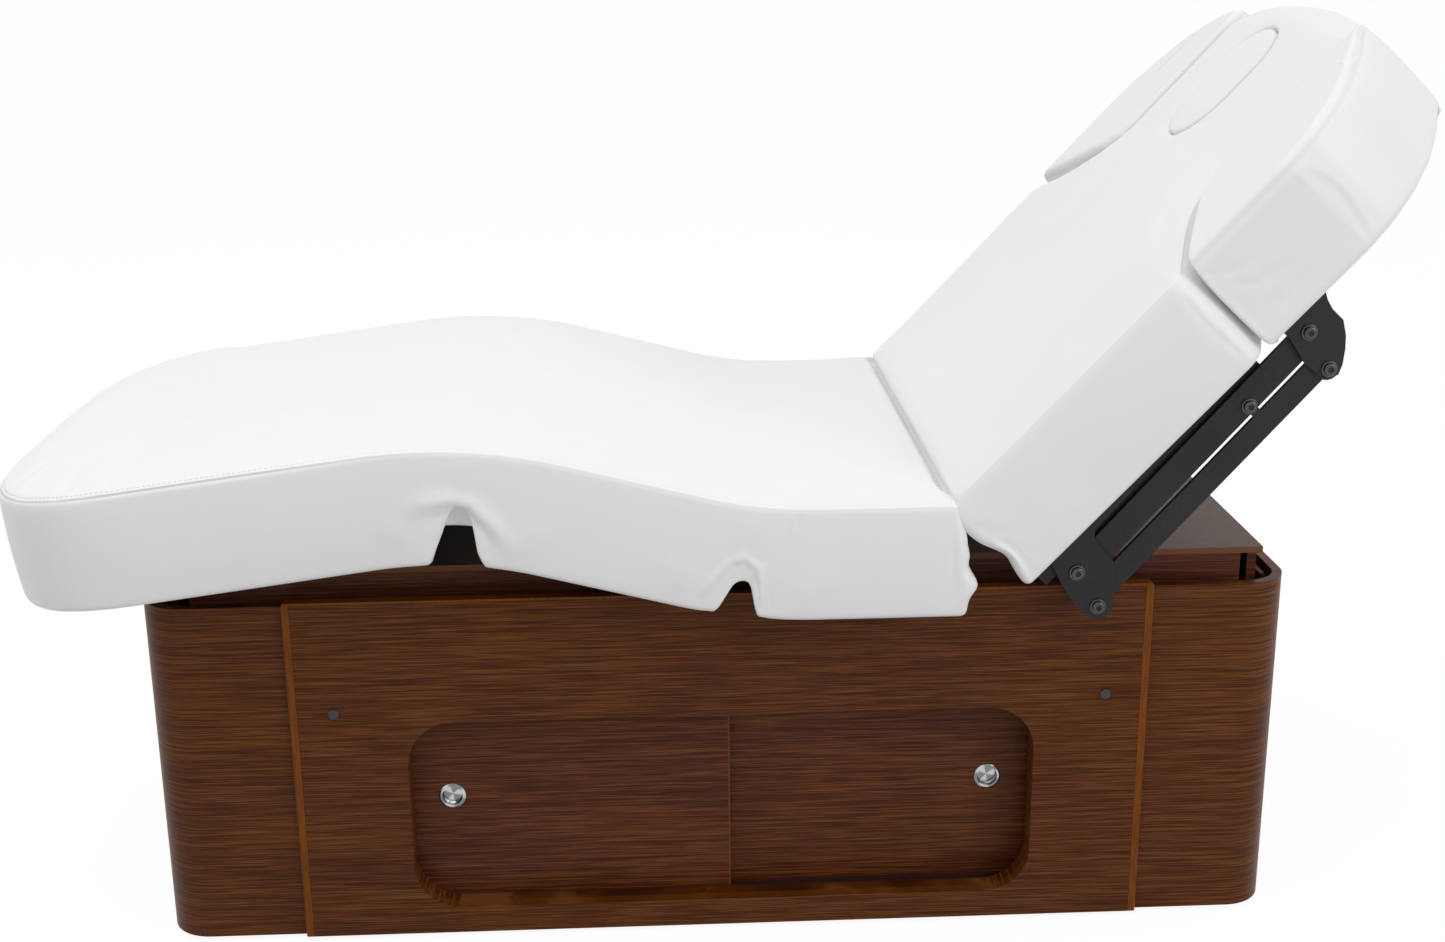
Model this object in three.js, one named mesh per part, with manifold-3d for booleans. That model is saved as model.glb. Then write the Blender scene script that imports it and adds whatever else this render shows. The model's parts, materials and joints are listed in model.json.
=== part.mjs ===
// Electric treatment table: a wood cabinet with two sliding doors, a lifting inner
// cabinet, and a mattress in four sections with drop-down arm pads at the head.
// Millimetres. X runs from the foot end to the head end, Y from the front to the
// back of the cabinet, Z up. The origin is on the floor under the cabinet's centre.
// The rest pose has the backrest raised, the knees up and the lift at its lowest.

import * as THREE from 'three';
import { mergeVertices } from 'three/addons/utils/BufferGeometryUtils.js';
import Module from 'manifold-3d';

const wasm = await Module();
wasm.setup();

// Driving sizes.

// outer cabinet
const cabinetLength = 1434;
const cabinetWidth = 608;
const cabinetHeight = 450;
const shellThickness = 12;
const shellCornerRadius = 56;
const footGap = 6;
const panelThickness = 16;
const panelProud = 8;
const panelRise = 6;
const panelWidth = 1056;
const edgingWidth = 10;
const edgingTopThickness = 3;
const floorThickness = 12;
const floorLift = 8;

// opening, doors and compartment
const openingWidth = 790;
const openingHeight = 257;
const openingSill = 43;
const openingRadius = 58;
const openingRim = 7;
const rimReturn = 16.5;
const doorThickness = 10;
const doorGap = 3;
const doorRecess = 35;
const doorLap = 20;
const doorEndCover = 7;
const doorGrooveDepth = 5;
const trackThickness = 8;
const trackMargin = 2;
const compartmentDepth = 142;
const compartmentWall = 8;
const roofDrop = 2;
const pullRadius = 17;
const pullCupRadius = 13;
const pullCupDepth = 6;
const pullFlange = 1.5;
const pullWall = 1;
const pullInset = 56;
const pullHeight = 183;
const capRadius = 7;
const capHeight = 2.5;
const capInset = 45;
const capLevel = 315;

// feet, supply and control
const footPadRadius = 26;
const footPadHeight = 8;
const footStemRadius = 8;
const footInsetX = 120;
const footInsetY = 74;
const inletX = -450;
const inletHeight = 86;
const inletFlangeWidth = 52;
const inletFlangeHeight = 34;
const inletFlange = 2.5;
const inletBodyWidth = 34;
const inletBodyHeight = 24;
const inletBodyDepth = 30;
const inletWall = 3;
const inletSocketDepth = 20;
const controlBoxLength = 300;
const controlBoxWidth = 130;
const controlBoxHeight = 90;
const controlBoxRadius = 10;
const controlBoxOffset = 120;

// lifting columns
const columnSpacing = 660;
const columnOuterX = 120;
const columnOuterY = 96;
const columnWall = 4;
const columnRunning = 0.5;
const columnDrop = 168;
const columnStep = 13;
const columnCornerRadius = 8;
const basePlateX = 180;
const basePlateY = 150;
const basePlateThickness = 8;
const headPlateX = 160;
const headPlateY = 130;
const headPlateThickness = 8;

// telescoping shroud and inner cabinet
const shroudGap = 6;
const shroudThickness = 6;
const shroudClear = 8;
const shroudDrop = 8;
const shroudCornerRadius = 36;
const shroudNotch = 46;
const shroudNotchDrop = 60;
const strapWidth = 60;
const strapThickness = 10;
const strapReach = 30;
const innerGap = 9;
const innerSideGap = 6;
const innerBoard = 12;
const innerTopThickness = 8;
const innerShow = 38;
const innerSkirtLap = 12;
const innerCornerOpen = 28;

// steel frames
const railDeep = 30;
const railWide = 30;
const carriageRailOffset = 45;
const crossDeep = 30;
const crossWide = 40;
const postWide = 30;
const postOffset = 200;
const seatRailWide = 36;
const seatRailOffset = 218;
const stubWide = 26;
const stubDeep = 18;
const hingePlate = 6.6;
const hingeInner = 322;
const hingeClear = 0.6;
const hingePinRadius = 5;
const hingeEyeRadius = 9;
const backPinRadius = 7;
const backEyeRadius = 14;
const boreClearance = 0.4;
const boardThickness = 9;
const boardInset = 44;
const crossFlat = 16;
const crossFlatWide = 30;

// mattress
const mattressWidth = 780;
const seatBuild = 96;
const sideHeight = 138;
const foamThickness = 52;
const crownRise = 21;
const seamDraw = 2.5;
const sideBulge = 3;
const tightBulge = 1.2;
const edgeRound = 9;
const shoulderRound = 26;
const skirtThickness = 39;
const hipX = 44;
const backX = 285;
const hipAxisDrop = 10;
const backAxisDrop = 34;
const thighLength = 360;
const calfLength = 584;
const footCornerShare = 0.64;
const sectionGap = 1.5;
const thighAngle = 14.5;
const calfAngle = 7.5;
const backAngle = 46.5;
const coveRadius = 49.5;
const coveAngle = 69;
const coveBack = 12;
const junctionFade = 120;
const junctionCrown = 8;
const kneeNotch = 51;
const hipNotch = 9.5;

// backrest, head and arm pads
const wideLength = 386;
const headLength = 770;
const tongueHalf = 213.5;
const tongueGap = 4;
const padGap = 10;
const padOuterLength = 332;
const padTipShort = 22;
const headCavity = 452;
const headBoardEnd = 525;
const headBoardHalf = 180;
const shoulderRun = 90;
const shoulderLength = 138;
const headCavityHalf = 196;
const plugLength = 175;
const plugWidth = 128;
const plugInset = 58;
const plugThickness = 70;
const plugLedge = 8;
const plugGap = 1.2;

// arm pad linkage, in the backrest's own frame: s along it, t square to it
const linkLength = 391.5;
const linkTilt = 1.67;
const linkPivotS = 53.8;
const linkPivotT = -147.9;
const pairS = -13.4;
const pairT = -50.5;
const linkThickness = 6;
const linkInner = 341.7;
const linkOneHalf = 17;
const linkOneOffset = -4.5;
const linkTwoHalf = 14.5;
const linkTwoOffset = 8.5;
const linkEyeRadius = 15;
const linkEyeTrim = 8;
const bracketThickness = 5;
const bracketClear = 0.6;
const linkPinRadius = 5;
const boltHeadRadius = 7;
const boltHeadHeight = 4.5;
const boltWasherRadius = 9;
const boltWasherHeight = 1;
const stopAlong = 283;
const stopTabWidth = 12;
const stopClear = 0.3;
const backRailWide = 22;
const backRailDeep = 40;
const backRailInner = 318;
const backRailTop = -97;
const backRailStart = 16;
const lowerPlateStart = 22;
const lowerPlateLength = 152;
const lowerPlateDepth = 107;
const upperPlateStart = 416;
const upperPlateLength = 74;
const upperPlateDepth = 96;
const flangeReach = 50;

// drives
const pinDrop = 38;
const driveOffset = 45;
const housingRadius = 22;
const rodRadius = 10;
const rodBore = 10.6;
const drivePinRadius = 6;
const leverThickness = 12;
const leverHalf = 15;
const forkThickness = 5;
const forkLength = 34;
const forkHeight = 26;
const backHousingStart = -160;
const backHousingLength = 310;
const legHousingStart = 120;
const legHousingLength = 300;
const backSweep = 65;
const legSweep = 22.5;
const backSlotWidth = 19.4;
const legSlotWidth = 13.4;
const linkBarPivotX = -300;
const linkPivotDrop = 49;
const linkBarReach = 200;
const linkBarDrop = 85;
const linkBarThickness = 12;
const linkBarHalf = 12;
const linkBarPin = 5;
const linkBarPlay = 3.4;
const earThickness = 5;

// fits and facets
const fit = 0.3;
const overrun = 5;
const weld = 0.0005;

// Levels and places that hang on one another.
const shellTop = footGap + cabinetHeight;
const openingTop = openingSill + openingHeight;
const innerTopHeight = shellTop + innerShow;
const seamHeight = innerTopHeight + seatBuild;
const shroudBottom = openingTop + shroudClear;
const shroudTop = shellTop - shroudDrop;
const innerSkirtBottom = shroudBottom + innerSkirtLap;
const columnTop = innerTopHeight - columnDrop;
const pinLevel = innerTopHeight - pinDrop;
const linkBarPivotZ = innerTopHeight - linkPivotDrop;
const plugStart = headLength - plugInset - plugLength;
const padTipLength = headLength - padTipShort;
const headStart = wideLength + shoulderRun;
const arcFacets = 6;
const roundFacets = 16;
const fineFacets = 24;

// Small tools.

const threeQuarterShare = 0.75;

const rad = THREE.MathUtils.degToRad;
const sides = { near: -1, far: 1 };

// A closed three.js geometry as a solid that can be cut and joined.
function solid(geometry) {
  const bare = geometry.clone();
  bare.deleteAttribute('normal');
  bare.deleteAttribute('uv');
  const merged = mergeVertices(bare, weld);
  const vertProperties = new Float32Array(merged.attributes.position.array);
  const triVerts = new Uint32Array(merged.index.array);
  return new wasm.Manifold(new wasm.Mesh({ numProp: 3, vertProperties, triVerts }));
}

function geometryOf(body) {
  const mesh = body.getMesh();
  const geometry = new THREE.BufferGeometry();
  const count = mesh.numProp;
  const positions = [];
  for (let i = 0; i < mesh.vertProperties.length; i += count) {
    positions.push(...mesh.vertProperties.slice(i, i + 3));
  }
  geometry.setAttribute('position', new THREE.Float32BufferAttribute(positions, 3));
  geometry.setIndex(Array.from(mesh.triVerts));
  geometry.computeVertexNormals();
  return geometry;
}

const join = (...bodies) => bodies.reduce((whole, body) => whole.add(body));
const cut = (whole, ...bodies) => bodies.reduce((rest, body) => rest.subtract(body), whole);

function block(x0, x1, y0, y1, z0, z1) {
  const geometry = new THREE.BoxGeometry(Math.abs(x1 - x0), Math.abs(y1 - y0), Math.abs(z1 - z0));
  return solid(geometry.translate((x0 + x1) / 2, (y0 + y1) / 2, (z0 + z1) / 2));
}

// An outline in X and Y raised from z0 to z1.
function raised(shape, z0, z1, curveSegments = arcFacets) {
  const geometry = new THREE.ExtrudeGeometry(shape, { depth: z1 - z0, bevelEnabled: false, curveSegments });
  return solid(geometry.translate(0, 0, z0));
}

// An outline in X and Z run from y0 to y1.
function across(shape, y0, y1, curveSegments = arcFacets) {
  const low = Math.min(y0, y1);
  const high = Math.max(y0, y1);
  const settings = { depth: high - low, bevelEnabled: false, curveSegments };
  const geometry = new THREE.ExtrudeGeometry(shape, settings);
  return solid(geometry.rotateX(Math.PI / 2).translate(0, high, 0));
}

// An outline in Y and Z run from x0 to x1.
function along(shape, x0, x1, curveSegments = arcFacets) {
  const geometry = new THREE.ExtrudeGeometry(shape, { depth: x1 - x0, bevelEnabled: false, curveSegments });
  const turn = new THREE.Matrix4().makeBasis(
    new THREE.Vector3(0, 1, 0),
    new THREE.Vector3(0, 0, 1),
    new THREE.Vector3(1, 0, 0),
  );
  return solid(geometry.applyMatrix4(turn).translate(x0, 0, 0));
}

// Round bars along each axis.
function barY(x, z, radius, y0, y1, facets = roundFacets) {
  const geometry = new THREE.CylinderGeometry(radius, radius, Math.abs(y1 - y0), facets);
  return solid(geometry.translate(x, (y0 + y1) / 2, z));
}

function barX(y, z, radius, x0, x1, facets = roundFacets) {
  const geometry = new THREE.CylinderGeometry(radius, radius, x1 - x0, facets);
  return solid(geometry.rotateZ(Math.PI / 2).translate((x0 + x1) / 2, y, z));
}

function roundedRect(x0, x1, y0, y1, radius) {
  const shape = new THREE.Shape();
  shape.moveTo(x0 + radius, y0);
  shape.lineTo(x1 - radius, y0);
  shape.absarc(x1 - radius, y0 + radius, radius, -Math.PI / 2, 0);
  shape.lineTo(x1, y1 - radius);
  shape.absarc(x1 - radius, y1 - radius, radius, 0, Math.PI / 2);
  shape.lineTo(x0 + radius, y1);
  shape.absarc(x0 + radius, y1 - radius, radius, Math.PI / 2, Math.PI);
  shape.lineTo(x0, y0 + radius);
  shape.absarc(x0 + radius, y0 + radius, radius, Math.PI, Math.PI * threeQuarterShare * 2);
  return shape;
}

function polygon(points) {
  return new THREE.Shape(points.map(([x, y]) => new THREE.Vector2(x, y)));
}

// An outline given as shares of a length and a depth, hung from a corner.
function plateOutline(shares, x0, z0, length, depth) {
  return polygon(shares.map(([x, z]) => [x0 + x * length, z0 + z * depth]));
}

// Scene graph.

const table = new THREE.Group();

const finishes = {
  wood: { color: 0x5a3620, roughness: 0.42, metalness: 0 },
  innerWood: { color: 0x5b3a38, roughness: 0.45, metalness: 0 },
  edge: { color: 0x7d4a28, roughness: 0.4, metalness: 0 },
  board: { color: 0xb28d62, roughness: 0.7, metalness: 0 },
  steel: { color: 0x323234, roughness: 0.42, metalness: 0.5 },
  bright: { color: 0xc9cbd0, roughness: 0.12, metalness: 1 },
  rod: { color: 0xa9adb3, roughness: 0.25, metalness: 1 },
  leather: { color: 0xf1f1f1, roughness: 0.5, metalness: 0 },
  plastic: { color: 0x2a2730, roughness: 0.5, metalness: 0 },
  rubber: { color: 0x1d1d1f, roughness: 0.85, metalness: 0 },
};

function add(name, body, finish, parent = table) {
  const geometry = body.isBufferGeometry ? body : geometryOf(body);
  const mesh = new THREE.Mesh(geometry, new THREE.MeshStandardMaterial(finishes[finish]));
  mesh.name = name;
  parent.add(mesh);
  return mesh;
}

// Outer cabinet.

const halfLength = cabinetLength / 2;
const halfWidth = cabinetWidth / 2;
const panelFront = halfWidth + panelProud;
const panelBack = panelFront - panelThickness;
const panelTop = shellTop + panelRise;
const panelHalf = panelWidth / 2;
const edgingEnd = panelHalf + fit + edgingWidth;
const floorBottom = footGap + floorLift;
const floorTop = floorBottom + floorThickness;

// Bent plywood shell round one end: a U in plan, open towards the middle.
function endShell(end) {
  const start = end * (edgingEnd + fit);
  const outer = end * halfLength;
  const radius = shellCornerRadius;
  const inside = radius - shellThickness;
  const corner = outer - end * radius;
  const shape = new THREE.Shape();
  const turn = end > 0;
  shape.moveTo(start, -halfWidth);
  shape.lineTo(corner, -halfWidth);
  shape.absarc(corner, -halfWidth + radius, radius, -Math.PI / 2, turn ? 0 : -Math.PI, !turn);
  shape.lineTo(outer, halfWidth - radius);
  shape.absarc(corner, halfWidth - radius, radius, turn ? 0 : Math.PI, Math.PI / 2, !turn);
  shape.lineTo(start, halfWidth);
  shape.lineTo(start, halfWidth - shellThickness);
  shape.lineTo(corner, halfWidth - shellThickness);
  shape.absarc(corner, halfWidth - radius, inside, Math.PI / 2, turn ? 0 : Math.PI, turn);
  shape.lineTo(outer - end * shellThickness, -halfWidth + radius);
  shape.absarc(corner, -halfWidth + radius, inside, turn ? 0 : -Math.PI, -Math.PI / 2, turn);
  shape.lineTo(start, -halfWidth + shellThickness);
  return raised(shape, footGap, shellTop, roundFacets / 2);
}

add('end_shell_foot', endShell(-1), 'wood');
add('end_shell_head', endShell(1), 'wood');

// Front panel with its rounded opening and the rim that lines it.
const openingHalf = openingWidth / 2;

function openingShape(grow) {
  return roundedRect(
    -openingHalf - grow,
    openingHalf + grow,
    openingSill - grow,
    openingTop + grow,
    openingRadius + grow,
  );
}

const panelSheet = polygon([
  [-panelHalf, footGap],
  [panelHalf, footGap],
  [panelHalf, panelTop - edgingTopThickness - fit],
  [-panelHalf, panelTop - edgingTopThickness - fit],
]);
const rimBack = panelBack - rimReturn;
const frontPanel = cut(
  join(
    across(panelSheet, -panelFront, -panelBack),
    across(openingShape(openingRim), -panelBack - fit, -rimBack, arcFacets),
  ),
  across(openingShape(0), -panelFront - overrun, -rimBack + overrun, arcFacets),
);
add('front_panel', frontPanel, 'wood');

// Back panel: the same sheet without the opening, bored for the mains inlet.
const inletHole = block(
  inletX - inletBodyWidth / 2 - fit,
  inletX + inletBodyWidth / 2 + fit,
  panelBack - overrun,
  panelFront + overrun,
  inletHeight - inletBodyHeight / 2 - fit,
  inletHeight + inletBodyHeight / 2 + fit,
);
add('back_panel', cut(across(panelSheet, panelBack, panelFront), inletHole), 'wood');

// Light edging round the sides and top of each panel, its front arrises rounded.
function edging(side) {
  const outer = edgingEnd;
  const inner = panelHalf + fit;
  const top = panelTop;
  const corner = edgingWidth / 2;
  const shape = new THREE.Shape();
  shape.moveTo(-outer, footGap);
  shape.lineTo(-inner, footGap);
  shape.lineTo(-inner, top - edgingTopThickness);
  shape.lineTo(inner, top - edgingTopThickness);
  shape.lineTo(inner, footGap);
  shape.lineTo(outer, footGap);
  shape.lineTo(outer, top - corner);
  shape.absarc(outer - corner, top - corner, corner, 0, Math.PI / 2);
  shape.lineTo(-outer + corner, top);
  shape.absarc(-outer + corner, top - corner, corner, Math.PI / 2, Math.PI);
  const ease = edgingWidth / 5;
  const whole = across(shape, side * panelBack, side * panelFront);
  const arrises = [-1, 1].map((end) => {
    const x = end * outer;
    const face = side * panelFront;
    const wedge = polygon([
      [x - end * ease, face + side * ease],
      [x + end * ease, face + side * ease],
      [x + end * ease, face - side * ease],
      [x, face - side * ease],
      [x - end * ease, face],
    ]);
    return raised(wedge, footGap - overrun, top + overrun);
  });
  return cut(whole, ...arrises);
}

add('front_edging', edging(-1), 'edge');
add('back_edging', edging(1), 'edge');

// Floor board between the shells.
const floorBoard = raised(
  roundedRect(
    -halfLength + shellThickness + fit,
    halfLength - shellThickness - fit,
    -halfWidth + shellThickness + fit,
    halfWidth - shellThickness - fit,
    shellCornerRadius - shellThickness - fit,
  ),
  floorBottom,
  floorTop,
);
add('floor_board', floorBoard, 'board');

// Levelling feet: a pad on a stem under the floor board.
const footX = halfLength - footInsetX;
const footY = halfWidth - footInsetY;
const footProfile = [
  [0, 0],
  [footPadRadius - 2 * pullFlange, 0],
  [footPadRadius, pullFlange],
  [footPadRadius, footPadHeight / 2],
  [footStemRadius, footPadHeight],
  [footStemRadius, floorBottom - fit],
  [0, floorBottom - fit],
].map(([r, z]) => new THREE.Vector2(r, z));
for (const [endName, end] of [['foot', -1], ['head', 1]]) {
  for (const [sideName, side] of Object.entries(sides)) {
    const geometry = new THREE.LatheGeometry(footProfile, roundFacets);
    const stand = solid(geometry.rotateX(Math.PI / 2));
    const placed = add(`levelling_foot_${endName}_${sideName}`, stand, 'rubber');
    placed.position.set(end * footX, side * footY, 0);
  }
}

// Screw caps on the front panel.
for (const [name, end] of [['left', -1], ['right', 1]]) {
  const profile = [
    [0, 0],
    [capRadius, 0],
    [capRadius, capHeight / 2],
    [capRadius - capHeight / 2, capHeight],
    [0, capHeight],
  ].map(([r, z]) => new THREE.Vector2(r, z));
  const cap = solid(new THREE.LatheGeometry(profile, roundFacets).rotateX(Math.PI));
  const placed = add(`screw_cap_${name}`, cap, 'plastic');
  placed.position.set(end * (panelHalf - capInset), -panelFront - fit, capLevel);
}

// Doors and compartment.

const doorFront = panelFront - doorRecess;
const doorBack = doorFront - doorThickness;
const rearDoorFront = doorBack - doorGap;
const rearDoorBack = rearDoorFront - doorThickness;
const doorLow = openingSill - doorGrooveDepth + fit;
const doorHigh = openingTop + doorGrooveDepth - fit;
const doorOuter = openingHalf + doorEndCover;
const pullX = doorOuter - pullInset;

function slidingDoor(x0, x1, face, pullAt) {
  const sheet = block(x0, x1, -face, -face + doorThickness, doorLow, doorHigh);
  const seat = pullCupRadius + pullWall + fit;
  return cut(sheet, barY(pullAt, pullHeight, seat, -face - overrun, -face + pullCupDepth + pullWall + fit));
}

// Flush pull: a round cup with a turned flange, revolved about its own axis.
function flushPull() {
  const profile = [
    [0, -pullCupDepth - pullWall],
    [pullCupRadius + pullWall, -pullCupDepth - pullWall],
    [pullCupRadius + pullWall, 0],
    [pullRadius, 0],
    [pullRadius, pullFlange / 2],
    [pullRadius - pullFlange, pullFlange],
    [pullCupRadius, pullFlange],
    [pullCupRadius, -pullCupDepth + pullFlange],
    [pullCupRadius - pullFlange, -pullCupDepth],
    [0, -pullCupDepth],
  ].map(([r, z]) => new THREE.Vector2(r, z));
  return solid(new THREE.LatheGeometry(profile, fineFacets).rotateX(Math.PI));
}

add('door_left_panel', slidingDoor(-doorOuter, doorLap / 2, doorFront, -pullX), 'wood');
add('door_right_panel', slidingDoor(-doorLap / 2, doorOuter, rearDoorFront, pullX), 'wood');
add('door_left_pull', flushPull(), 'bright').position.set(-pullX, -doorFront - fit, pullHeight);
add('door_right_pull', flushPull(), 'bright').position.set(pullX, -rearDoorFront - fit, pullHeight);

// Grooved tracks above and below the doors.
const trackFront = doorFront + trackMargin;
const trackBack = rearDoorBack - trackMargin;
const trackHalf = doorOuter + trackMargin;
const compartmentFront = trackBack - fit;

function doorTrack(z0, z1, grooveLow, grooveHigh) {
  const bar = block(-trackHalf, trackHalf, -trackFront, -trackBack, z0, z1);
  const slots = [doorFront, rearDoorFront].map((face) =>
    block(-doorOuter - fit, doorOuter + fit, -face - fit, -face + doorThickness + fit, grooveLow, grooveHigh),
  );
  return cut(bar, ...slots);
}

add(
  'door_track_lower',
  doorTrack(floorTop + fit, openingSill, openingSill - doorGrooveDepth, openingSill + overrun),
  'edge',
);
add(
  'door_track_upper',
  doorTrack(
    openingTop - fit,
    openingTop + trackThickness - fit,
    openingTop - overrun,
    openingTop + doorGrooveDepth,
  ),
  'edge',
);

// Compartment: floor, roof, ends and back behind the doors.
const compartmentHalf = openingHalf + compartmentWall;
const compartmentBack = compartmentFront - compartmentDepth - compartmentWall;
const compartment = cut(
  block(
    -compartmentHalf,
    compartmentHalf,
    -compartmentFront,
    -compartmentBack,
    floorTop + fit,
    openingTop + compartmentWall - roofDrop,
  ),
  block(
    -openingHalf,
    openingHalf,
    -compartmentFront - overrun,
    -compartmentBack - compartmentWall,
    openingSill,
    openingTop - roofDrop,
  ),
);
add('storage_compartment', compartment, 'innerWood');

// Mains inlet in the back panel: a flanged socket, open to the outside.
const inletShell = join(
  block(
    inletX - inletFlangeWidth / 2,
    inletX + inletFlangeWidth / 2,
    panelFront + fit,
    panelFront + fit + inletFlange,
    inletHeight - inletFlangeHeight / 2,
    inletHeight + inletFlangeHeight / 2,
  ),
  block(
    inletX - inletBodyWidth / 2,
    inletX + inletBodyWidth / 2,
    panelFront - inletBodyDepth,
    panelFront + inletFlange,
    inletHeight - inletBodyHeight / 2,
    inletHeight + inletBodyHeight / 2,
  ),
);
const inletSocket = block(
  inletX - inletBodyWidth / 2 + inletWall,
  inletX + inletBodyWidth / 2 - inletWall,
  panelFront + inletFlange - inletSocketDepth,
  panelFront + inletFlange + overrun,
  inletHeight - inletBodyHeight / 2 + inletWall,
  inletHeight + inletBodyHeight / 2 - inletWall,
);
add('mains_inlet', cut(inletShell, inletSocket), 'plastic');

// Control box on the floor board behind the compartment.
const controlBox = raised(
  roundedRect(
    -controlBoxLength / 2,
    controlBoxLength / 2,
    controlBoxOffset - controlBoxWidth / 2,
    controlBoxOffset + controlBoxWidth / 2,
    controlBoxRadius,
  ),
  floorTop + fit,
  floorTop + fit + controlBoxHeight,
);
add('control_box', controlBox, 'plastic');

// Lifting columns.

const baseStart = floorTop + fit;
const midX = columnOuterX - 2 * (columnWall + columnRunning);
const midY = columnOuterY - 2 * (columnWall + columnRunning);
const topX = midX - 2 * (columnWall + columnRunning);
const topY = midY - 2 * (columnWall + columnRunning);
const columnMidTop = columnTop + columnStep;
const columnTopTop = columnMidTop + columnStep;

function tube(sizeX, sizeY, z0, z1) {
  const radius = columnCornerRadius;
  const shape = roundedRect(-sizeX / 2, sizeX / 2, -sizeY / 2, sizeY / 2, radius);
  const bore = roundedRect(
    -sizeX / 2 + columnWall,
    sizeX / 2 - columnWall,
    -sizeY / 2 + columnWall,
    sizeY / 2 - columnWall,
    radius - columnWall + columnRunning,
  );
  shape.holes.push(bore);
  return raised(shape, z0, z1, arcFacets / 2);
}

function plate(sizeX, sizeY, z0, z1) {
  const outline = roundedRect(-sizeX / 2, sizeX / 2, -sizeY / 2, sizeY / 2, columnCornerRadius);
  return raised(outline, z0, z1, arcFacets / 2);
}

for (const [name, end] of [['foot', -1], ['head', 1]]) {
  const x = (end * columnSpacing) / 2;
  const tubeBottom = baseStart + basePlateThickness - fit;
  const lower = join(
    plate(basePlateX, basePlateY, baseStart, baseStart + basePlateThickness),
    tube(columnOuterX, columnOuterY, tubeBottom, columnTop),
  );
  const middle = tube(midX, midY, baseStart + basePlateThickness + fit, columnMidTop);
  const upper = join(
    tube(topX, topY, baseStart + basePlateThickness + columnStep, columnTopTop),
    plate(headPlateX, headPlateY, columnTopTop - fit, columnTopTop + headPlateThickness),
  );
  add(`column_outer_${name}`, lower, 'steel').position.x = x;
  add(`column_middle_${name}`, middle, 'rod').position.x = x;
  add(`column_inner_${name}`, upper, 'rod').position.x = x;
}

// Telescoping shroud.

const shroudHalfX = halfLength - shellThickness - shroudGap;
const shroudHalfY = halfWidth - shellThickness - shroudGap + shroudGap / 6;

function shroudOutline(inset) {
  return roundedRect(
    -shroudHalfX + inset,
    shroudHalfX - inset,
    -shroudHalfY + inset,
    shroudHalfY - inset,
    shroudCornerRadius - inset,
  );
}

// A Z-bent strap under the inner skirt, up to the middle tube of a column.
function shroudStrap(x, side) {
  const wall = shroudHalfY - shroudThickness / 2;
  const under = shroudHalfY - shroudThickness - strapReach;
  const tubeFace = midY / 2 + fit;
  const rise = columnMidTop - strapThickness;
  const outline = polygon(
    [
      [wall, shroudBottom],
      [under, shroudBottom],
      [under - strapThickness, shroudBottom + strapThickness],
      [under - strapThickness, rise],
      [tubeFace, rise],
      [tubeFace, columnMidTop],
      [under, columnMidTop],
      [under, shroudBottom + strapThickness],
      [wall, shroudBottom + strapThickness],
    ].map(([y, z]) => [side * y, z]),
  );
  return along(outline, x - strapWidth / 2, x + strapWidth / 2);
}

const shroudRing = shroudOutline(0);
shroudRing.holes.push(shroudOutline(shroudThickness));
const shroudCorners = [-1, 1].flatMap((ex) =>
  [-1, 1].map((ey) =>
    block(
      ex * (shroudHalfX - shroudNotch),
      ex * (shroudHalfX + overrun),
      ey * (shroudHalfY - shroudNotch + shroudThickness),
      ey * (shroudHalfY + overrun),
      shroudTop - shroudNotchDrop,
      shroudTop + overrun,
    ),
  ),
);
const shroud = join(
  cut(raised(shroudRing, shroudBottom, shroudTop), ...shroudCorners),
  ...[-1, 1].flatMap((ex) => [-1, 1].map((side) => shroudStrap((ex * columnSpacing) / 2, side))),
);
add('shroud_middle', shroud, 'innerWood');

// Inner cabinet.

const innerHalfX = halfLength - shellThickness - shroudGap - shroudThickness - innerGap;
const innerHalfY = shroudHalfY - shroudThickness - innerSideGap + fit;
const innerTopUnder = innerTopHeight - innerTopThickness;
const innerSideEnd = innerHalfY - innerBoard - overrun - fit;

for (const [name, side] of [['front', -1], ['back', 1]]) {
  const reach = innerHalfX - innerCornerOpen;
  const board = block(
    -reach,
    reach,
    side * innerHalfY,
    side * (innerHalfY - innerBoard),
    innerSkirtBottom,
    innerTopUnder - fit,
  );
  add(`inner_${name}_panel`, board, 'innerWood');
}
for (const [name, end] of [['foot', -1], ['head', 1]]) {
  const board = block(
    end * (innerHalfX - pullFlange),
    end * (innerHalfX - pullFlange - innerBoard),
    -innerSideEnd,
    innerSideEnd,
    innerSkirtBottom,
    innerTopUnder - fit,
  );
  add(`inner_side_${name}`, board, 'innerWood');
}

// Carriage frame.

const carriageBottom = columnTopTop + headPlateThickness + fit;
const carriageTop = carriageBottom + railDeep;
const crossSinkShare = 0.6;
const crossBottom = carriageBottom + crossDeep * crossSinkShare;
const crossTop = crossBottom + crossDeep;
const carriageEnd = innerHalfX - pullFlange - innerBoard - fit;
const crossShares = [-0.418, -0.23, -0.084, 0.098, 0.23, 0.418];
const crossPlaces = crossShares.map((share) => share * cabinetLength);
const crossReach = innerHalfY - innerBoard - fit;

const carriageParts = [];
for (const side of [-1, 1]) {
  const y = side * carriageRailOffset;
  const half = railWide / 2;
  carriageParts.push(block(-carriageEnd, carriageEnd, y - half, y + half, carriageBottom, carriageTop));
}
for (const x of crossPlaces) {
  const halfCross = crossWide / 2;
  carriageParts.push(block(x - halfCross, x + halfCross, -crossReach, crossReach, crossBottom, crossTop));
  for (const side of [-1, 1]) {
    const y = side * postOffset;
    const half = postWide / 2;
    carriageParts.push(block(x - half, x + half, y - half, y + half, crossTop - fit, innerTopUnder - fit));
  }
}

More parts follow.
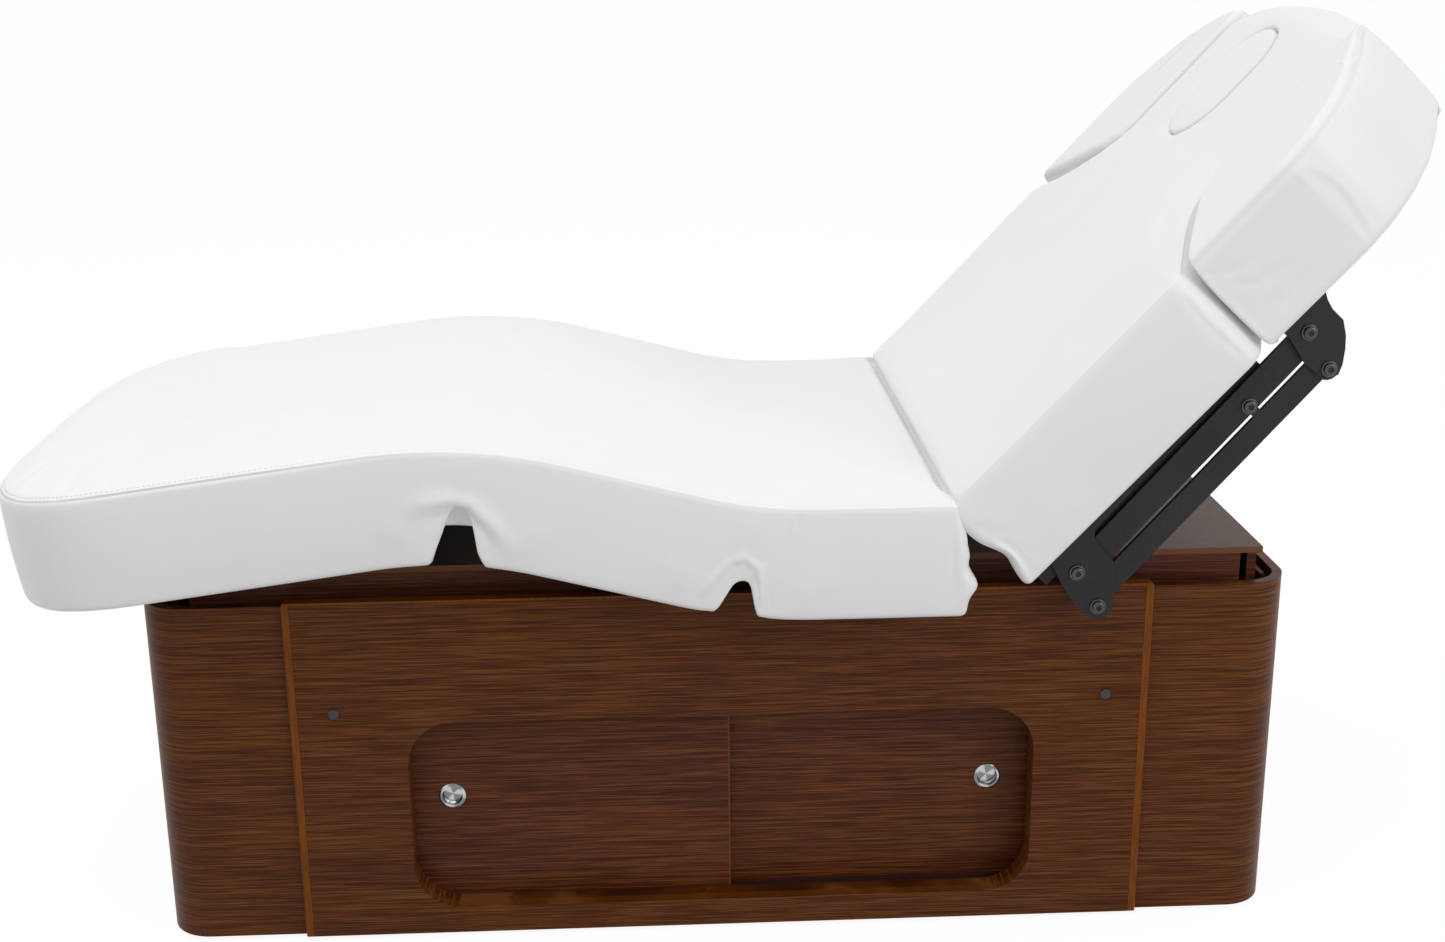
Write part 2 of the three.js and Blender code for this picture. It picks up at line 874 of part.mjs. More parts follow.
// Two ears that carry the leg link.
const linkEarBase = crossPlaces[1] + crossWide / 2;
for (const side of [-1, 1]) {
  const inner = linkBarThickness / 2 + boreClearance;
  const ear = new THREE.Shape();
  ear.moveTo(linkEarBase - crossWide, crossTop - fit);
  ear.lineTo(linkBarPivotX + linkBarHalf, crossTop - fit);
  ear.lineTo(linkBarPivotX + linkBarHalf, linkBarPivotZ);
  ear.absarc(linkBarPivotX, linkBarPivotZ, linkBarHalf, 0, Math.PI * threeQuarterShare);
  carriageParts.push(across(ear, side * inner, side * (inner + earThickness)));
}
carriageParts.push(
  block(
    linkEarBase - crossWide,
    linkBarPivotX + linkBarHalf,
    -linkBarThickness / 2 - boreClearance - earThickness,
    linkBarThickness / 2 + boreClearance + earThickness,
    crossBottom,
    crossTop,
  ),
);
const linkEarPin = barY(
  linkBarPivotX,
  linkBarPivotZ,
  linkBarPin,
  -linkBarThickness / 2 - boreClearance - fit,
  linkBarThickness / 2 + boreClearance + fit,
);
add('carriage_frame', join(...carriageParts, linkEarPin), 'steel');

// Drive geometry.

const backAxisZ = seamHeight - backAxisDrop;
const hipAxisZ = seamHeight - hipAxisDrop;
const backLeverDepth = backAxisZ - pinLevel;
const legLeverDepth = hipAxisZ - pinLevel;
const backLeverLean = backSweep / 2;
const legLeverLean = legSweep / 2;
const backPinX = backX + backLeverDepth * Math.tan(rad(backAngle - backLeverLean));
const legPinX = hipX - legLeverDepth * Math.tan(rad(thighAngle - legLeverLean));
const backRodStroke = backLeverDepth * Math.tan(rad(backLeverLean));
const legRodStroke = legLeverDepth * Math.tan(rad(legLeverLean));

// Slots that let the levers and the leg link through the top of the inner cabinet.
const slotMargin = leverHalf + 4 * overrun;
const leverSlots = [
  [
    backX - backRodStroke - slotMargin,
    backX + backRodStroke + slotMargin,
    -driveOffset,
    forkThickness + leverThickness,
  ],
  [
    hipX - legRodStroke - slotMargin,
    hipX + legRodStroke + slotMargin,
    driveOffset,
    forkThickness + leverThickness,
  ],
  [
    linkBarPivotX - linkBarReach - 2 * linkBarHalf - 2 * overrun,
    linkBarPivotX - linkBarHalf,
    0,
    linkBarThickness,
  ],
];
const innerTop = cut(
  block(-innerHalfX, innerHalfX, -innerHalfY, innerHalfY, innerTopUnder, innerTopHeight),
  ...leverSlots.map(([x0, x1, y, half]) =>
    block(x0, x1, y - half, y + half, innerTopUnder - overrun, innerTopHeight + overrun),
  ),
);
add('inner_top_panel', innerTop, 'innerWood');

const saddleShare = 0.7;

// A linear drive: a bored round housing on two saddles that stand on the cross bars.
function driveHousing(x0, length, y, mouth, saddles) {
  const body = barX(y, pinLevel, housingRadius, x0, x0 + length);
  const boreStart = mouth > 0 ? x0 + length / 4 : x0 - overrun;
  const boreEnd = mouth > 0 ? x0 + length + overrun : x0 + (length * 3) / 4;
  const feet = saddles.map((x) =>
    block(
      x - crossWide / 2,
      x + crossWide / 2,
      y - housingRadius * saddleShare,
      y + housingRadius * saddleShare,
      crossTop + fit,
      pinLevel,
    ),
  );
  return cut(join(body, ...feet), barX(y, pinLevel, rodBore, boreStart, boreEnd));
}

// The rod with its fork and the cross pin that works in a lever's slot.
function driveRod(pinX, tail, y, mouth) {
  const inner = leverThickness / 2 + boreClearance;
  const heel = pinX - mouth * forkLength;
  const parts = [
    barX(y, pinLevel, rodRadius, Math.min(tail, heel), Math.max(tail, heel)),
    block(
      Math.min(heel, heel + mouth * forkThickness),
      Math.max(heel, heel + mouth * forkThickness),
      y - inner - forkThickness,
      y + inner + forkThickness,
      pinLevel - forkHeight / 2,
      pinLevel + forkHeight / 2,
    ),
  ];
  for (const side of [-1, 1]) {
    const y0 = y + side * inner;
    const y1 = y + side * (inner + forkThickness);
    parts.push(
      block(
        Math.min(heel, pinX),
        Math.max(heel, pinX),
        Math.min(y0, y1),
        Math.max(y0, y1),
        pinLevel - forkHeight / 2,
        pinLevel + forkHeight / 2,
      ),
      barY(pinX, pinLevel, forkHeight / 2, Math.min(y0, y1), Math.max(y0, y1)),
    );
  }
  parts.push(barY(pinX, pinLevel, drivePinRadius, y - inner - fit, y + inner + fit));
  return join(...parts);
}

add(
  'back_drive_housing',
  driveHousing(backHousingStart, backHousingLength, -driveOffset, 1, [
    crossPlaces[2],
    crossPlaces[3] - crossWide / 4,
  ]),
  'plastic',
);
add(
  'leg_drive_housing',
  driveHousing(legHousingStart, legHousingLength, driveOffset, -1, [crossPlaces[3], crossPlaces[4]]),
  'plastic',
);
const backRodTail = backHousingStart + backHousingLength / 4 + backRodStroke + backPinX - backX + 2 * overrun;
const legRodTail = legHousingStart + (legHousingLength * 3) / 4 - 2 * legRodStroke - overrun;
add('back_drive_rod', driveRod(backPinX, backRodTail, -driveOffset, 1), 'rod');
add('leg_drive_rod', driveRod(legPinX, legRodTail, driveOffset, -1), 'rod');

// A slotted lever that hangs below a hinge axis, in the hinged section's own frame.
function slottedLever(axisX, lean, sweepShare, depth, slotWidth, y, rootX, rootZ) {
  const direction = new THREE.Vector2(Math.sin(rad(lean)), -Math.cos(rad(lean)));
  const near = depth;
  const far = depth / Math.cos(rad(sweepShare));
  const at = (r) => [axisX + direction.x * r, direction.y * r];
  const [x0, z0] = at(near);
  const [x1, z1] = at(far);
  const y0 = y - leverThickness / 2;
  const y1 = y + leverThickness / 2;
  const normal = new THREE.Vector2(-direction.y, direction.x);
  const strip = (half, startX, startZ, endX, endZ) =>
    across(
      polygon([
        [startX - normal.x * half, startZ - normal.y * half],
        [endX - normal.x * half, endZ - normal.y * half],
        [endX + normal.x * half, endZ + normal.y * half],
        [startX + normal.x * half, startZ + normal.y * half],
      ]),
      y0,
      y1,
    );
  const slotHalf = slotWidth / 2;
  const body = join(
    strip(leverHalf, x0, z0, x1, z1),
    barY(x1, z1, leverHalf, y0, y1),
    across(
      polygon([
        [x0 - normal.x * leverHalf, z0 - normal.y * leverHalf],
        [x0 + normal.x * leverHalf, z0 + normal.y * leverHalf],
        [rootX[1], rootZ],
        [rootX[0], rootZ],
      ]),
      y0,
      y1,
    ),
    barY(x0, z0, leverHalf, y0, y1),
  );
  const slot = (grow) => [
    barY(x0, z0, slotHalf, y0 - grow, y1 + grow),
    barY(x1, z1, slotHalf, y0 - grow, y1 + grow),
  ];
  const middle = across(
    polygon([
      [x0 - normal.x * slotHalf, z0 - normal.y * slotHalf],
      [x1 - normal.x * slotHalf, z1 - normal.y * slotHalf],
      [x1 + normal.x * slotHalf, z1 + normal.y * slotHalf],
      [x0 + normal.x * slotHalf, z0 + normal.y * slotHalf],
    ]),
    y0 - overrun,
    y1 + overrun,
  );
  return cut(body, ...slot(overrun), middle);
}

// Cushions.

const halfMattress = mattressWidth / 2;

// Rings of an upholstered block: the height as a share of the part that it lies on,
// how far the outline moves out, and the share of the way in towards the spine.
const sideShares = [
  [0, -1, 0],
  [0.25, -0.3, 0],
  [0.6, 0, 0],
  [1, 0, 0],
];
const crownShares = [
  [0.22, 0.012],
  [0.48, 0.05],
  [0.72, 0.13],
  [0.9, 0.28],
  [1, 0.52],
];

const mitreShare = 0.6;

function outlineNormals(outline, locks) {
  return outline.map((point, i) => {
    const before = outline[(i + outline.length - 1) % outline.length];
    const after = outline[(i + 1) % outline.length];
    const a = new THREE.Vector2(point.y - before.y, before.x - point.x).normalize();
    const b = new THREE.Vector2(after.y - point.y, point.x - after.x).normalize();
    const sum = a.clone().add(b).normalize();
    const scale = 1 / Math.max(sum.dot(a), mitreShare);
    const normal = sum.multiplyScalar(scale);
    if (locks.some((lock) => Math.abs(point.x - lock) < fit)) {
      normal.set(0, Math.abs(point.y) > fit ? Math.sign(point.y) : 0);
    }
    return normal;
  });
}

function nearestOnSpine(point, spine) {
  let best = null;
  let distance = Infinity;
  for (let i = 0; i + 1 < spine.length; i += 1) {
    const span = spine[i + 1].clone().sub(spine[i]);
    const share = THREE.MathUtils.clamp(point.clone().sub(spine[i]).dot(span) / span.lengthSq(), 0, 1);
    const candidate = spine[i].clone().addScaledVector(span, share);
    if (candidate.distanceTo(point) < distance) {
      best = candidate;
      distance = candidate.distanceTo(point);
    }
  }
  return best;
}

// A cushion from its outline in plan: sides that draw in at the lower edge and at the
// seam, and a crown that rises over the seam towards the spine. rise(x) scales it.
// round(p) is the radius of the lower edge at a point of the outline.
function upholstered(
  outline,
  { seam, depth, spine, locks = [], rise = () => crownRise, bulge = sideBulge, round = () => edgeRound },
) {
  const normals = outlineNormals(outline, locks);
  const rings = [];
  const bottom = seam - depth;
  for (const [share, out] of sideShares) {
    rings.push(outline.map((p, i) => {
      const q = p.clone().addScaledVector(normals[i], out * round(p));
      return new THREE.Vector3(q.x, q.y, bottom + share * round(p) * 2);
    }));
  }
  rings.push(outline.map((p, i) => {
    const q = p.clone().addScaledVector(normals[i], bulge);
    return new THREE.Vector3(q.x, q.y, seam - depth / 2);
  }));
  rings.push(outline.map((p) => new THREE.Vector3(p.x, p.y, seam - edgeRound)));
  rings.push(outline.map((p, i) => {
    const q = p.clone().addScaledVector(normals[i], -seamDraw);
    return new THREE.Vector3(q.x, q.y, seam);
  }));
  const inner = outline.map((p, i) => p.clone().addScaledVector(normals[i], -seamDraw));
  for (const [height, share] of crownShares) {
    rings.push(inner.map((p) => {
      const q = p.clone().lerp(nearestOnSpine(p, spine), share);
      return new THREE.Vector3(q.x, q.y, seam + height * rise(q.x));
    }));
  }
  const count = outline.length;
  const positions = rings.flat().flatMap((v) => [v.x, v.y, v.z]);
  const index = [];
  for (let level = 0; level + 1 < rings.length; level += 1) {
    for (let i = 0; i < count; i += 1) {
      const j = (i + 1) % count;
      const a = level * count + i;
      const b = level * count + j;
      const c = a + count;
      const d = b + count;
      index.push(a, b, d, a, d, c);
    }
  }
  const flat = (ring) => ring.map((v) => new THREE.Vector2(v.x, v.y));
  for (const [a, b, c] of THREE.ShapeUtils.triangulateShape(flat(rings[0]), [])) {
    index.push(a, c, b);
  }
  const last = (rings.length - 1) * count;
  for (const [a, b, c] of THREE.ShapeUtils.triangulateShape(flat(rings.at(-1)), [])) {
    index.push(last + a, last + b, last + c);
  }
  const geometry = new THREE.BufferGeometry();
  geometry.setAttribute('position', new THREE.Float32BufferAttribute(positions, 3));
  geometry.setIndex(index);
  return solid(geometry);
}

// Points along the closed outline of a shape, anticlockwise, with no double points.
function outlinePoints(shape, divisions, longest) {
  const raw = shape.extractPoints(divisions).shape;
  const points = raw.filter((p, i) => p.distanceTo(raw[(i + 1) % raw.length]) > fit);
  if (THREE.ShapeUtils.isClockWise(points)) points.reverse();
  const result = [];
  points.forEach((p, i) => {
    const next = points[(i + 1) % points.length];
    const steps = Math.max(1, Math.round(p.distanceTo(next) / longest));
    for (let k = 0; k < steps; k += 1) result.push(p.clone().lerp(next, k / steps));
  });
  return result;
}

const outlineStep = 70;

// The crown lies lower where two sections meet in a fold.
function fading(at) {
  return (x) => {
    const share = THREE.MathUtils.smoothstep(Math.abs(x - at), 0, junctionFade);
    return THREE.MathUtils.lerp(junctionCrown, crownRise, share);
  };
}

// Slopes of the wedges at the hip and the knee, and where a wedge narrows.
const hipWedgeShares = [0.02, 0.22];
const kneeWedgeShare = 0.32;
const wedgeShares = [0.82, 1.35];

// Half of the wedge that opens between two sections, in the frame of one of them.
// facing is +1 where the section lies towards +X of the hinge.
function hingeWedge(axisX, facing, slope, bottomWidth, upSlope) {
  const low = -(sideHeight + overrun);
  const bend = -(foamThickness + edgeRound);
  const top = foamThickness;
  const shape = polygon([
    [axisX - facing * overrun, low],
    [axisX + facing * bottomWidth, low],
    [axisX + facing * (bottomWidth * wedgeShares[0]), bend * wedgeShares[1]],
    [axisX + facing * (sectionGap / 2 + slope * -bend), bend],
    [axisX + (facing * sectionGap) / 2, 0],
    [axisX + facing * (sectionGap / 2 + upSlope * top), top],
    [axisX - facing * overrun, top],
  ]);
  return across(shape, -halfMattress - overrun, halfMattress + overrun);
}

// Pockets in a cushion for the hinge plates at its ends.
function hingePockets(x0, x1, low, high) {
  const outer = halfMattress - skirtThickness;
  const inner = hingeInner - overrun;
  return Object.values(sides).map((side) => block(x0, x1, side * inner, side * outer, low, high));
}

// Seat.

const boardDrop = foamThickness + fit;
const crossDrop = boardDrop + boardThickness;
const boardHalf = halfMattress - boardInset;
const cavityHalf = halfMattress - skirtThickness;
const innerClear = stubDeep + 2 * fit;
const endWall = 15;
const seatStart = hipX;
const seatEnd = backX - sectionGap;

const seatOutline = outlinePoints(
  polygon([
    [seatStart, -halfMattress],
    [seatEnd, -halfMattress],
    [seatEnd, halfMattress],
    [seatStart, halfMattress],
  ]),
  arcFacets,
  outlineStep,
);

// The cove that the backrest's lower edge turns in.
function coveSector() {
  const shape = new THREE.Shape();
  const start = Math.PI / 2 - rad(coveBack);
  shape.moveTo(backX + sectionGap, backAxisZ - sectionGap);
  shape.lineTo(backX + coveRadius * Math.cos(start), backAxisZ + coveRadius * Math.sin(start));
  const end = Math.PI / 2 + rad(coveAngle);
  shape.absarc(backX, backAxisZ, coveRadius, start, end);
  return across(shape, -halfMattress - overrun, halfMattress + overrun, roundFacets);
}

// The room that the backrest's face takes at its steepest.
function raisedFace() {
  const face = backAxisDrop + junctionCrown + 3 * sectionGap;
  const steep = rad(backSweep);
  const up = new THREE.Vector2(Math.cos(steep), Math.sin(steep));
  const out = new THREE.Vector2(-Math.sin(steep), Math.cos(steep));
  const corners = [[0, 0], [0, face], [junctionFade, face], [junctionFade, 0]];
  const points = corners.map(([s, t]) => [backX + s * up.x + t * out.x, backAxisZ + s * up.y + t * out.y]);
  return across(polygon(points.reverse()), -halfMattress - overrun, halfMattress + overrun);
}

const seatBlock = upholstered(seatOutline, {
  seam: seamHeight,
  depth: sideHeight,
  spine: [new THREE.Vector2(seatStart, 0), new THREE.Vector2(seatEnd, 0)],
  locks: [seatStart, seatEnd],
  rise: fading(backX),
});
const seatCavity = [
  block(
    seatStart - overrun,
    seatEnd + overrun,
    -cavityHalf,
    cavityHalf,
    seamHeight - sideHeight - overrun,
    innerTopHeight + innerClear,
  ),
  block(
    seatStart + endWall,
    seatEnd - endWall,
    -cavityHalf,
    cavityHalf,
    innerTopHeight,
    seamHeight - foamThickness,
  ),
];
const hipWedge = hingeWedge(hipX, 1, hipWedgeShares[0], hipNotch, hipWedgeShares[1]);
const hipWedgeSeat = hipWedge.translate([0, 0, hipAxisZ]);
const seatPocketTop = hipAxisZ + hingeEyeRadius + 2 * hingeClear;
const backPocketTop = backAxisZ + backEyeRadius + 2 * hingeClear;
const seatCushion = cut(
  seatBlock,
  ...seatCavity,
  coveSector(),
  raisedFace(),
  hipWedgeSeat,
  ...hingePockets(seatStart - overrun, seatStart + 4 * overrun, seamHeight - sideHeight, seatPocketTop),
  ...hingePockets(backX - 8 * overrun, seatEnd + overrun, seamHeight - sideHeight, backPocketTop),
);
add('seat_cushion', seatCushion, 'leather');

const boardReach = hingeInner - overrun;
const seatBoardTop = seamHeight - boardDrop;
const seatBoardBottom = seatBoardTop - boardThickness;
const seatBoardX0 = seatStart + 5 * overrun;
const seatBoardX1 = seatEnd - 9 * overrun;

const backLeanShare = -0.5;

// Bore through a hinge plate for its pin.
function hingeBore(x, z, pinRadius, side) {
  const low = side * (hingeInner - overrun);
  const high = side * (hingeInner + 3 * overrun);
  return barY(x, z, pinRadius + boreClearance, low, high);
}

// Seat frame: two rails on the inner cabinet, outriggers and hinge plates.
const seatRailX0 = seatStart + endWall + fit;
const seatRailX1 = seatEnd - endWall - fit;
const seatFrameBottom = innerTopHeight + fit;
const seatFrameTop = seatBoardBottom + fit;
const seatFrameParts = [
  block(seatBoardX0, seatBoardX1, -boardReach, boardReach, seatBoardBottom, seatBoardTop),
];

function hingeUpright(x, z, eye, side, lean) {
  const shape = new THREE.Shape();
  const base = seatFrameBottom + stubDeep;
  shape.moveTo(x + lean * stubWide - stubWide / 2, seatFrameBottom);
  shape.lineTo(x + lean * stubWide + stubWide / 2, seatFrameBottom);
  shape.lineTo(x + lean * stubWide + stubWide / 2, base);
  shape.lineTo(x + eye, z);
  shape.absarc(x, z, eye, 0, Math.PI);
  shape.lineTo(x + lean * stubWide - stubWide / 2, base);
  return across(shape, side * hingeInner, side * (hingeInner + hingePlate));
}

for (const side of [-1, 1]) {
  const railInner = side * (seatRailOffset - seatRailWide / 2);
  const railOuter = side * (seatRailOffset + seatRailWide / 2);
  seatFrameParts.push(
    block(seatRailX0, seatRailX1, railInner, railOuter, seatFrameBottom, seatFrameTop),
    block(seatStart, seatEnd, railInner, railOuter, seatFrameBottom, seatFrameBottom + stubDeep),
  );
  for (const [x, z, eye, lean] of [
    [hipX, hipAxisZ, hingeEyeRadius, 0],
    [backX, backAxisZ, backEyeRadius, backLeanShare],
  ]) {
    const centre = x + lean * stubWide;
    seatFrameParts.push(
      block(
        centre - stubWide / 2,
        centre + stubWide / 2,
        side * seatRailOffset,
        side * (hingeInner + hingePlate),
        seatFrameBottom,
        seatFrameBottom + stubDeep,
      ),
      hingeUpright(x, z, eye, side, lean),
    );
  }
}
seatFrameParts.push(
  block(
    (seatBoardX0 + seatBoardX1) / 2 - stubWide,
    (seatBoardX0 + seatBoardX1) / 2,
    -seatRailOffset,
    seatRailOffset,
    seatFrameBottom,
    seatFrameTop,
  ),
);
const seatBores = Object.values(sides).flatMap((side) => [
  hingeBore(hipX, hipAxisZ, hingePinRadius, side),
  hingeBore(backX, backAxisZ, backPinRadius, side),
]);
add('seat_frame', cut(join(...seatFrameParts), ...seatBores), 'steel');

// Thigh section.

// Own frame: origin on the hip axis, X towards the head, Z square to the section.
const thigh = new THREE.Group();
thigh.position.set(hipX, 0, hipAxisZ);
thigh.rotation.y = rad(thighAngle);
table.add(thigh);

const legSeam = hipAxisDrop;
const legCavityTop = legSeam - foamThickness;
const legBoardTop = legSeam - boardDrop;
const legBoardBottom = legBoardTop - boardThickness;
const legCrossTop = legBoardBottom + fit;
const legCrossBottom = legCrossTop - crossFlat;
const legCavityLow = legSeam - sideHeight - overrun;

const thighOutline = outlinePoints(
  polygon([
    [-thighLength, -halfMattress],
    [0, -halfMattress],
    [0, halfMattress],
    [-thighLength, halfMattress],
  ]),
  arcFacets,
  outlineStep,
);
const thighBlock = upholstered(thighOutline, {
  seam: legSeam,
  depth: sideHeight,
  spine: [new THREE.Vector2(-thighLength, 0), new THREE.Vector2(0, 0)],
  locks: [-thighLength, 0],
});
const legPocketTop = hingeEyeRadius + 2 * hingeClear;
const thighCushion = cut(
  thighBlock,
  block(-thighLength - overrun, overrun, -cavityHalf, cavityHalf, legCavityLow, legCavityTop),
  hingeWedge(0, -1, hipWedgeShares[0], hipNotch, hipWedgeShares[1]),
  hingeWedge(-thighLength, 1, kneeWedgeShare, kneeNotch, 0),
  ...hingePockets(-8 * overrun, overrun, legCavityLow, legPocketTop),
  ...hingePockets(-thighLength - overrun, -thighLength + 8 * overrun, legCavityLow, legPocketTop),
);
add('thigh_cushion', thighCushion, 'leather', thigh);

// Depth of a side plate and the slopes of its ends.
const plateShares = [0.98, 0.3, 1.6];

// Side plates with an eye at each end, two flat cross bars and the slotted lever.
function legSidePlate(x0, x1, eyeAtEnd, side, inner) {
  const deep = legSeam - sideHeight * plateShares[0];
  const shape = new THREE.Shape();
  const rise = 10 * overrun;
  shape.moveTo(x1 + hingeEyeRadius, 0);
  shape.absarc(x1, 0, hingeEyeRadius, 0, Math.PI / 2);
  shape.lineTo(x1 - 6 * overrun, legCrossTop);
  if (eyeAtEnd) {
    shape.lineTo(x0 + 6 * overrun, legCrossTop);
    shape.lineTo(x0, hingeEyeRadius);
    shape.absarc(x0, 0, hingeEyeRadius, Math.PI / 2, Math.PI);
    shape.lineTo(x0 + rise * plateShares[1], legCrossBottom);
    shape.lineTo(x0 + rise, deep);
  } else {
    shape.lineTo(x0, legCrossTop);
    shape.lineTo(x0, legCrossBottom);
    shape.lineTo(x0 + rise, deep);
  }
  shape.lineTo(x1 - rise * plateShares[2], deep);
  shape.lineTo(x1 - rise * plateShares[1], legCrossBottom);
  return across(shape, side * inner, side * (inner + hingePlate));
}

const outerPlate = hingeInner + hingePlate + hingeClear;
const thighBarShares = [-0.2, -0.8];
const thighBars = thighBarShares.map((share) => share * thighLength);
const boardSetback = 9 * overrun;
const thighFrame = cut(
  join(
    block(-thighLength + boardSetback, -boardSetback, -boardReach, boardReach, legBoardBottom, legBoardTop),
    ...Object.values(sides).flatMap((side) => [
      legSidePlate(-thighLength, 0, true, side, outerPlate),
      barY(0, 0, hingePinRadius, side * (hingeInner - hingeClear), side * (outerPlate + fit)),
      barY(-thighLength, 0, hingePinRadius, side * (hingeInner - hingeClear), side * (outerPlate + fit)),
    ]),
    ...thighBars.map((x) =>
      block(
        x - crossFlatWide / 2,
        x + crossFlatWide / 2,
        -outerPlate - fit,
        outerPlate + fit,
        legCrossBottom,
        legCrossTop,
      ),
    ),
    slottedLever(0, legLeverLean, legLeverLean, legLeverDepth, legSlotWidth, driveOffset,
      [thighBars[0] - crossFlatWide / 2, thighBars[0] + crossFlatWide / 2], legCrossTop - 2 * fit),
  ),
);
add('thigh_frame', thighFrame, 'steel', thigh);

// Calf section.

// Own frame: origin on the knee axis.
const calf = new THREE.Group();
calf.position.set(
  hipX - thighLength * Math.cos(rad(thighAngle)),
  0,
  hipAxisZ + thighLength * Math.sin(rad(thighAngle)),
);
calf.rotation.y = -rad(calfAngle);
table.add(calf);

const footEndShares = [0.72, 0.3, 0.08, 0.42, 0.03, 1.3];

// Plan of the foot end: straight sides that run into a broad round end.
function calfPlan(inset) {
  const shape = new THREE.Shape();
  const half = halfMattress - inset;
  const end = -calfLength + inset;
  const corner = halfMattress * footCornerShare;
  shape.moveTo(overrun * (inset > 0 ? 1 : 0), -half);
  shape.lineTo(overrun * (inset > 0 ? 1 : 0), half);
  const [straight, ease, nose, turn, tip, flat] = footEndShares.map((share) => share * corner);
  shape.lineTo(end + straight, half);
  shape.bezierCurveTo(end + ease, half, end + nose, half - turn, end + tip, half - corner);
  shape.quadraticCurveTo(end, half - flat, end, 0);
  shape.quadraticCurveTo(end, flat - half, end + tip, corner - half);
  shape.bezierCurveTo(end + nose, turn - half, end + ease, -half, end + straight, -half);
  return shape;
}

const calfSpineShare = 0.55;
const calfBlock = upholstered(outlinePoints(calfPlan(0), arcFacets, outlineStep), {
  seam: legSeam,
  depth: sideHeight,
  spine: [new THREE.Vector2(-calfLength * calfSpineShare, 0), new THREE.Vector2(0, 0)],
  locks: [0],
});
const calfCushion = cut(
  calfBlock,
  raised(calfPlan(skirtThickness), legCavityLow, legCavityTop),
  hingeWedge(0, -1, kneeWedgeShare, kneeNotch, 0),
  ...hingePockets(-8 * overrun, overrun, legCavityLow, legPocketTop),
);
add('calf_cushion', calfCushion, 'leather', calf);

const calfPlateShare = 0.72;
const calfBarShares = [-0.14, -0.68];
const calfPlateEnd = -calfLength * calfPlateShare;
const calfBars = calfBarShares.map((share) => share * calfLength);
const linkEarX = -linkBarReach;
const linkEarZ = -linkBarDrop;
const calfEars = [-1, 1].map((side) => {
  const inner = linkBarThickness / 2 + boreClearance;
  const shape = new THREE.Shape();
  shape.moveTo(linkEarX - 2 * linkBarHalf, legCrossTop - fit);
  shape.lineTo(linkEarX - linkBarHalf, linkEarZ);
  shape.absarc(linkEarX, linkEarZ, linkBarHalf, Math.PI, 2 * Math.PI);
  shape.lineTo(linkEarX + 2 * linkBarHalf, legCrossTop - fit);
  return across(shape, side * inner, side * (inner + earThickness));
});
const calfBoard = cut(
  raised(calfPlan(boardInset + overrun), legBoardBottom, legBoardTop),
  block(
    -boardSetback,
    boardSetback,
    -halfMattress,
    halfMattress,
    legBoardBottom - overrun,
    legBoardTop + overrun,
  ),
  ...Object.values(sides).map((side) =>
    block(
      -calfLength,
      0,
      side * boardReach,
      side * halfMattress,
      legBoardBottom - overrun,
      legBoardTop + overrun,
    ),
  ),
);
const calfFrame = cut(
  join(
    calfBoard,
    ...Object.values(sides).map((side) => legSidePlate(calfPlateEnd, 0, false, side, hingeInner)),
    ...[...calfBars, linkEarX].map((x) =>
      block(
        x - crossFlatWide / 2,
        x + crossFlatWide / 2,
        -hingeInner - fit,
        hingeInner + fit,
        legCrossBottom + (x === linkEarX ? crossFlat / 2 : 0),
        legCrossTop,
      ),
    ),
    ...calfEars,
    barY(linkEarX, linkEarZ, linkBarPin, -linkBarThickness / 2 - boreClearance - fit,
      linkBarThickness / 2 + boreClearance + fit),
  ),
  ...Object.values(sides).map((side) => hingeBore(0, 0, hingePinRadius, side)),
);
add('calf_frame', calfFrame, 'steel', calf);

// Leg link: its play at the calf end takes up what the constant ratio leaves.
const acrossTable = new THREE.Vector3(0, 1, 0);
const linkBarEnd = new THREE.Vector3(linkEarX, 0, linkEarZ);
linkBarEnd.applyAxisAngle(acrossTable, calf.rotation.y).add(calf.position);
const linkBar = new THREE.Group();
linkBar.position.set(linkBarPivotX, 0, linkBarPivotZ);
linkBar.rotation.y = -Math.atan2(linkBarEnd.z - linkBarPivotZ, linkBarEnd.x - linkBarPivotX);
table.add(linkBar);
const linkBarLength = Math.hypot(linkBarEnd.x - linkBarPivotX, linkBarEnd.z - linkBarPivotZ);
const linkBossShare = 0.9;
const linkBarEye = linkBarPin + linkBarPlay + linkBarHalf / 2;
const linkBarBody = cut(
  join(
    block(0, linkBarLength, -linkBarThickness / 2, linkBarThickness / 2, -linkBarHalf / 2, linkBarHalf / 2),
    barY(0, 0, linkBarHalf * linkBossShare, -linkBarThickness / 2, linkBarThickness / 2),
    barY(linkBarLength, 0, linkBarEye, -linkBarThickness / 2, linkBarThickness / 2),
  ),
  barY(0, 0, linkBarPin + boreClearance, -linkBarThickness, linkBarThickness),
  barY(linkBarLength, 0, linkBarPin + linkBarPlay, -linkBarThickness, linkBarThickness),
);
add('leg_link', linkBarBody, 'steel', linkBar);

// Backrest.

// Own frame: origin on the back hinge axis, X up the backrest, Z square to it.
const back = new THREE.Group();
back.position.set(backX, 0, backAxisZ);
back.rotation.y = -rad(backAngle);
table.add(back);

const backSeam = backAxisDrop;
const backLow = backSeam - sideHeight;
const backCavityTop = backSeam - foamThickness;
const backBoardTop = backSeam - boardDrop;
const backBoardBottom = backBoardTop - boardThickness;

// The round at the head end of the tongue, as shares of its length and of the width.
const headRoundShares = [
  [0, 0],
  [0.38, 0.06],
  [0.68, 0.2],
  [0.9, 0.5],
  [1, 1],
];
const headRoundLength = 40;

// Plan of the wide part, whose shoulders run in straight to the tongue.
function backPlan() {
  return polygon([
    [sectionGap, -halfMattress],
    [wideLength, -halfMattress],
    [headStart, -tongueHalf],
    [headStart, tongueHalf],
    [wideLength, halfMattress],
    [sectionGap, halfMattress],
  ]);
}

